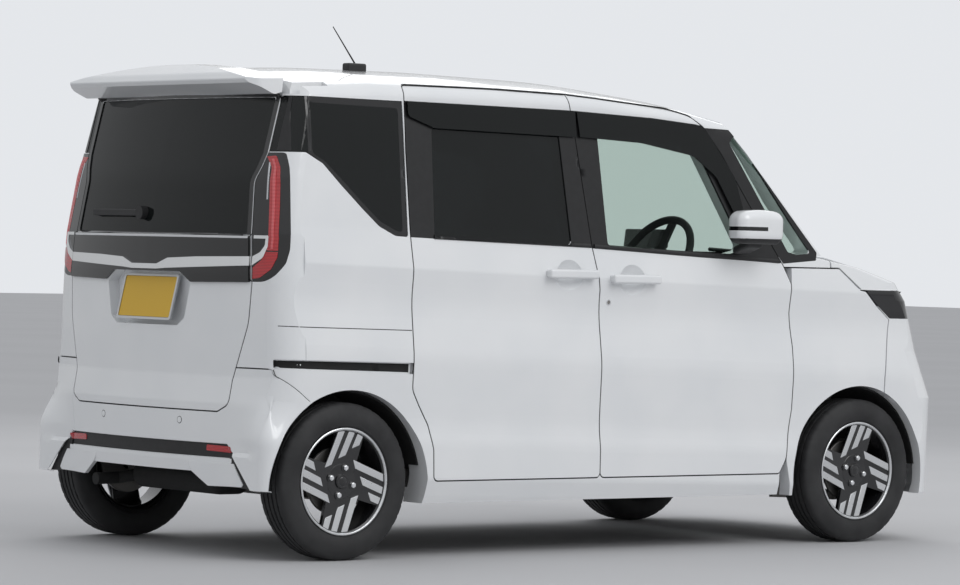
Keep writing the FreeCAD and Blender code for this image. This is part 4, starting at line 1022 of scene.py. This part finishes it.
def add_pad(name, node, middle, half, radius, main, sense, channels, tilt=0.0, foot=None, crown=12.0,
            seam_at=0.3):
    """A foam pad, crowned on its main face and drawn in between its corners, with sewn channels and seams."""
    others = [k for k in range(3) if k != main]
    edges = [(k, end * (half[k] - radius * 0.8)) for k in others for end in (-1, 1)]
    sewn = list(channels) + edges

    def shape(point):
        share = [point[k] / half[k] for k in range(3)]
        up = max(0.0, share[main] * sense)
        moved = Vector(point)
        middle_share = (1 - share[others[0]] ** 2) * (1 - share[others[1]] ** 2)
        moved[main] -= sense * crown * (1 - middle_share) * up
        for k, other in (others, reversed(others)):
            moved[k] *= 1 - PULL * max(0.0, 1 - share[other] ** 2) * (1 - 0.5 * up)
        for k, at in sewn:
            deep = CHANNEL_DEEP if (k, at) in channels else EDGE_DEEP
            moved[main] -= sense * deep * math.exp(-((point[k] - at) / CHANNEL_HALF) ** 2) * up ** 2
        from_seam = (share[main] * sense - seam_at) * half[main]
        side_dip = SIDE_SEAM_DEEP * math.exp(-(from_seam / SIDE_SEAM_HALF) ** 2)
        for k in others:
            moved[k] -= math.copysign(side_dip, point[k]) * abs(share[k]) ** 6
        moved += Vector(middle)
        if tilt:
            y, z = moved.y - foot[0], moved.z - foot[1]
            moved.y = foot[0] + y * math.cos(tilt) + z * math.sin(tilt)
            moved.z = foot[1] - y * math.sin(tilt) + z * math.cos(tilt)
        return moved

    extra = [[at for k, at in sewn if k == axis] for axis in range(3)]
    extra[main].append(sense * seam_at * half[main])
    block = rounded_block(half, radius, extra, PAD_PITCH, shape)
    made = finish_mesh(name, *block, CAR, FABRIC, "fabric", 60.0)
    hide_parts(node)


# name, node, outer and inner X, hip Y, lean, top of the back, half width of the head restraint
SEATS = (("front", "front_seats", -580, -75, 90, 12, 1150, 125),
         ("rear", "rear_seats", -575, -12, 900, 14, 1130, 115))
SEAT_LOW = 560
PANEL_SHARE = 0.56
# half length and half height of a cushion and of a head restraint, half the backrest's depth, and its posts
CUSHION_HALF = (250, 65)
HEAD_HALF = (45, 83)
BACK_HALF = 60
POST_SHIFTS, POST_RADIUS = (-50, 50), 6
for row, node, x0, x1, hip, lean, top, head_half in SEATS:
    for side, sign in SIDES:
        across, wide = -sign * (x0 + x1) / 2, (x1 - x0) / 2
        angle = math.radians(lean)
        foot = (hip, SEAT_LOW + 60)
        panel = wide * PANEL_SHARE
        add_pad("%s_cushion_%s" % (row, side), node, (across, hip - 210, SEAT_LOW + 65),
                (wide, *CUSHION_HALF), 40, 2, 1, [(0, -panel), (0, panel), (1, -90), (1, 40), (1, 150)])
        tall = (top - SEAT_LOW - 20) / 2
        add_pad("%s_back_%s" % (row, side), node, (across, hip, top - tall), (wide - 8, BACK_HALF, tall),
                38, 1, -1, [(0, -panel), (0, panel), (2, -110), (2, 30), (2, 160)], angle, foot)
        head_y = hip + (top + 110 - foot[1]) * math.tan(angle)
        add_pad("%s_head_%s" % (row, side), node, (across, head_y, top + 107), (head_half, *HEAD_HALF),
                36, 1, -1, [(2, -30)], crown=8.0, seam_at=-0.1)

        def post_spot(level, a, b):
            return put(across + a, hip + (level - foot[1]) * math.tan(angle) + b, level)

        posts = [slab(ring_points(14, POST_RADIUS, (shift, 0)), top - 24, top + 60, post_spot)
                 for shift in POST_SHIFTS]
        finish_mesh("%s_posts_%s" % (row, side), *joined(posts), CAR, CHROME, "steel", 40.0)

# Folded mirrors: a rounded shell with an arched top, a dark slot with its lens, and a black foot
MIRROR_MIDDLE = (800, -604, 1214)
MIRROR_HALF = (55, 115, 65)
MIRROR_ROUND = 38
MIRROR_ARCH = 12
MIRROR_TAPER = 0.16
MIRROR_LINES = [[], [-12], [-15, 0, -44]]
# the case is black below this height; the slot's two heights, its front end and its inner side
BLACK_BELOW = 1170
SLOT_LOW, SLOT_HIGH, SLOT_FRONT, SLOT_INNER = 1199.5, 1213.5, -616, 760
FOOT_MIDDLE = (762, -600, 1138)
FOOT_HALF = (44, 42, 15)
FOOT_ROUND = 12
FOOT_SLOPE = 0.35
MIRROR_PITCH, FOOT_PITCH = 16.0, 14.0
for side, sign in SIDES:
    door = "front_door_" + side

    def mirror_shape(point):
        along = point[1] / MIRROR_HALF[1]
        arch = MIRROR_ARCH * along * along * max(0.0, point[2] / MIRROR_HALF[2])
        x, y, z = MIRROR_MIDDLE
        return sign * (x + point[0] * (1 - MIRROR_TAPER * along * along)), y + point[1], z + point[2] - arch

    def foot_shape(point):
        x, y, z = FOOT_MIDDLE
        return sign * (x + point[0]), y + point[1], z + point[2] + FOOT_SLOPE * point[0]

    block = rounded_block(MIRROR_HALF, MIRROR_ROUND, MIRROR_LINES, MIRROR_PITCH, mirror_shape)
    case = finish_mesh("mirror_case_" + side, *block, door, WHITE, "body", 60.0)
    case.data.materials.append(TRIM)
    case.data.materials.append(PIANO)
    for face in case.data.polygons:
        x, y, z = face.center / MM
        if z < BLACK_BELOW:
            face.material_index = 1
        elif SLOT_LOW < z < SLOT_HIGH and y - ORIGIN_SHIFT > SLOT_FRONT and abs(x) > SLOT_INNER:
            face.material_index = 2
    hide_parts("door_mirror_" + side)
    block = rounded_block(FOOT_HALF, FOOT_ROUND, [[], [], []], FOOT_PITCH, foot_shape)
    finish_mesh("mirror_foot_" + side, *block, door, TRIM, "black", 60.0)

# Small fittings: the lock cylinder of the driver's door and a screen on the dashboard

LOCK = (48, 921)
SCREEN_HALF = (125, 37)
SCREEN_MIDDLE = (-125, -640, 1163)
SCREEN_LEAN = 0.12
for name, finish, count, radius, proud, bevel in (("lock_ring", CHROME, 24, 11, 1.6, 0.6),
                                                  ("lock_barrel", STEEL, 20, 7, 2.0, 0.4)):
    patch(name, "front_door_right", finish, "steel", "right", ring_points(count, radius, LOCK),
          ["front_door_right"], proud, 3.0, bevel=bevel)


def screen_spot(level, a, b):
    x, y, z = SCREEN_MIDDLE
    return put(x + a, y + level - SCREEN_LEAN * b, z + b)


screen = slab(box_outline(*SCREEN_HALF, 10), -12, 0, screen_spot)
finish_mesh("dash_screen", *screen, CAR, PIANO, "dark", 35.0, 1.0)

# Front: lamp insides, grille bars, plate

HEAD_CHROME = [(412, 975), (640, 982), (690, 978), (640, 948, 10), (420, 944)]
PROJECTORS, PROJECTOR_HEIGHT = (455, 515, 575), 920
for side, sign in SIDES:
    patch("head_chrome_" + side, CAR, REFLECTOR, "lamp", "front", flipped(HEAD_CHROME, sign), ["head_lamps"],
          1.5, 2.5)
    for k, across in enumerate(PROJECTORS):
        for name, finish, radius, proud, deep, bevel in (("head_ring", CHROME, 21, 2.5, 3.5, 0.8),
                                                         ("head_lens", PIANO, 16, 4.0, 4.0, 1.2)):
            disc = ring_points(28, radius, (sign * across, PROJECTOR_HEIGHT))
            patch("%s_%d_%s" % (name, k, side), CAR, finish, "lamp", "front", disc, ["head_lamps"],
                  proud, deep, bevel=bevel)
# bars across the front: name, finishes, slot, heights, half length at a level, its growth above, width, proud
BARS_AHEAD = (
    ("grille_bar", (PIANO, CHROME, PIANO), "lamp", (838, 862, 886), 378, 820, -0.28, 10, 6.0),
    ("intake_bar", (TRIM,) * 5, "black", (330, 365, 400, 435, 470), 425, 300, 0.15, 8, 5.0))
for name, finishes, slot, heights, half, level, growth, width, proud in BARS_AHEAD:
    for k, (finish, height) in enumerate(zip(finishes, heights)):
        reach = half + growth * (height - level)
        line = [(-reach, height), (reach, height)]
        strip("%s_%d" % (name, k), CAR, finish, slot, "front", line, ["grille"], width, proud)
add_plate("front_plate", CAR, (0, -1745.5, 640), 324, 160, 0, -1, PLATE)

# Camera at the photograph's place, solved from the car's real length and width
CAMERA_PLACE = Vector((-12.1804, 9.9361, 1.1004))
CAMERA_YAW = -0.677323
CAMERA_PITCH = -0.010214
CAMERA_ROLL = 0.023131
CAMERA_LENS = 153.29


def add_camera():
    level = math.cos(CAMERA_PITCH)
    ahead = Vector((level * math.cos(CAMERA_YAW), level * math.sin(CAMERA_YAW), math.sin(CAMERA_PITCH)))
    right = ahead.cross(Vector((0, 0, 1))).normalized()
    up = right.cross(ahead)
    turn, rise = math.cos(CAMERA_ROLL), math.sin(CAMERA_ROLL)
    right, up = right * turn + up * rise, up * turn - right * rise
    data = bpy.data.cameras.new("camera")
    data.lens = CAMERA_LENS
    data.sensor_width = 36.0
    data.clip_end = 200.0
    camera = in_scene("camera", data)
    camera.matrix_world = Matrix((
        (right.x, up.x, -ahead.x, CAMERA_PLACE.x),
        (right.y, up.y, -ahead.y, CAMERA_PLACE.y),
        (right.z, up.z, -ahead.z, CAMERA_PLACE.z),
        (0, 0, 0, 1)))
    bpy.context.scene.camera = camera


FLOOR_HALF = 60.0
FLOOR_COLOUR = (0.5, 0.5, 0.51)
SKY_COLOUR = (0.78, 0.8, 0.83)
SKY_STRENGTH = 0.76
GROUND_LIGHT, SKY_LIGHT = (0.6, 0.61, 0.62, 1), (0.95, 0.97, 1.0, 1)
# name, place and edge in metres, watts
LAMPS = (("key", (-8.0, -1.0, 7.0), 6.0, 290.0), ("fill", (5.0, -4.0, 6.0), 6.0, 120.0))
LAMP_TARGET = Vector((0, 0, 0.8))


def add_floor():
    made, tree, main = shader("studio_floor", FLOOR_COLOUR, 0.8)
    vary_colour(tree, main, noise(tree, 0.6), tuple(0.96 * part for part in FLOOR_COLOUR), FLOOR_COLOUR)
    mesh = bpy.data.meshes.new("floor")
    corners = ((-1, -1), (1, -1), (1, 1), (-1, 1))
    mesh.from_pydata([(FLOOR_HALF * a, FLOOR_HALF * b, 0) for a, b in corners], [], [(0, 1, 2, 3)])
    mesh.materials.append(made)
    in_scene("floor", mesh)


def add_light():
    world = bpy.data.worlds.new("studio")
    world.use_nodes = True
    bpy.context.scene.world = world
    tree = world.node_tree
    back = tree.nodes["Background"]
    place = tree.nodes.new("ShaderNodeTexCoord")
    split = tree.nodes.new("ShaderNodeSeparateXYZ")
    ramp = tree.nodes.new("ShaderNodeValToRGB")
    ramp.color_ramp.elements[0].position = 0.0
    ramp.color_ramp.elements[0].color = GROUND_LIGHT
    ramp.color_ramp.elements[1].position = 0.5
    ramp.color_ramp.elements[1].color = SKY_LIGHT
    tree.links.new(place.outputs["Generated"], split.inputs[0])
    tree.links.new(split.outputs["Z"], ramp.inputs["Fac"])
    tree.links.new(ramp.outputs["Color"], back.inputs["Color"])
    back.inputs["Strength"].default_value = SKY_STRENGTH
    seen = tree.nodes.new("ShaderNodeBackground")
    seen.inputs["Color"].default_value = (*SKY_COLOUR, 1)
    path = tree.nodes.new("ShaderNodeLightPath")
    mix = tree.nodes.new("ShaderNodeMixShader")
    tree.links.new(path.outputs["Is Camera Ray"], mix.inputs["Fac"])
    tree.links.new(back.outputs[0], mix.inputs[1])
    tree.links.new(seen.outputs[0], mix.inputs[2])
    tree.links.new(mix.outputs[0], tree.nodes["World Output"].inputs["Surface"])
    for name, place, size, power in LAMPS:
        data = bpy.data.lights.new(name, "AREA")
        data.size = size
        data.energy = power
        lamp = in_scene(name, data)
        lamp.location = place
        lamp.rotation_euler = (LAMP_TARGET - Vector(place)).to_track_quat("-Z", "Y").to_euler()


add_camera()
add_floor()
add_light()
bpy.context.scene.view_settings.view_transform = "Standard"
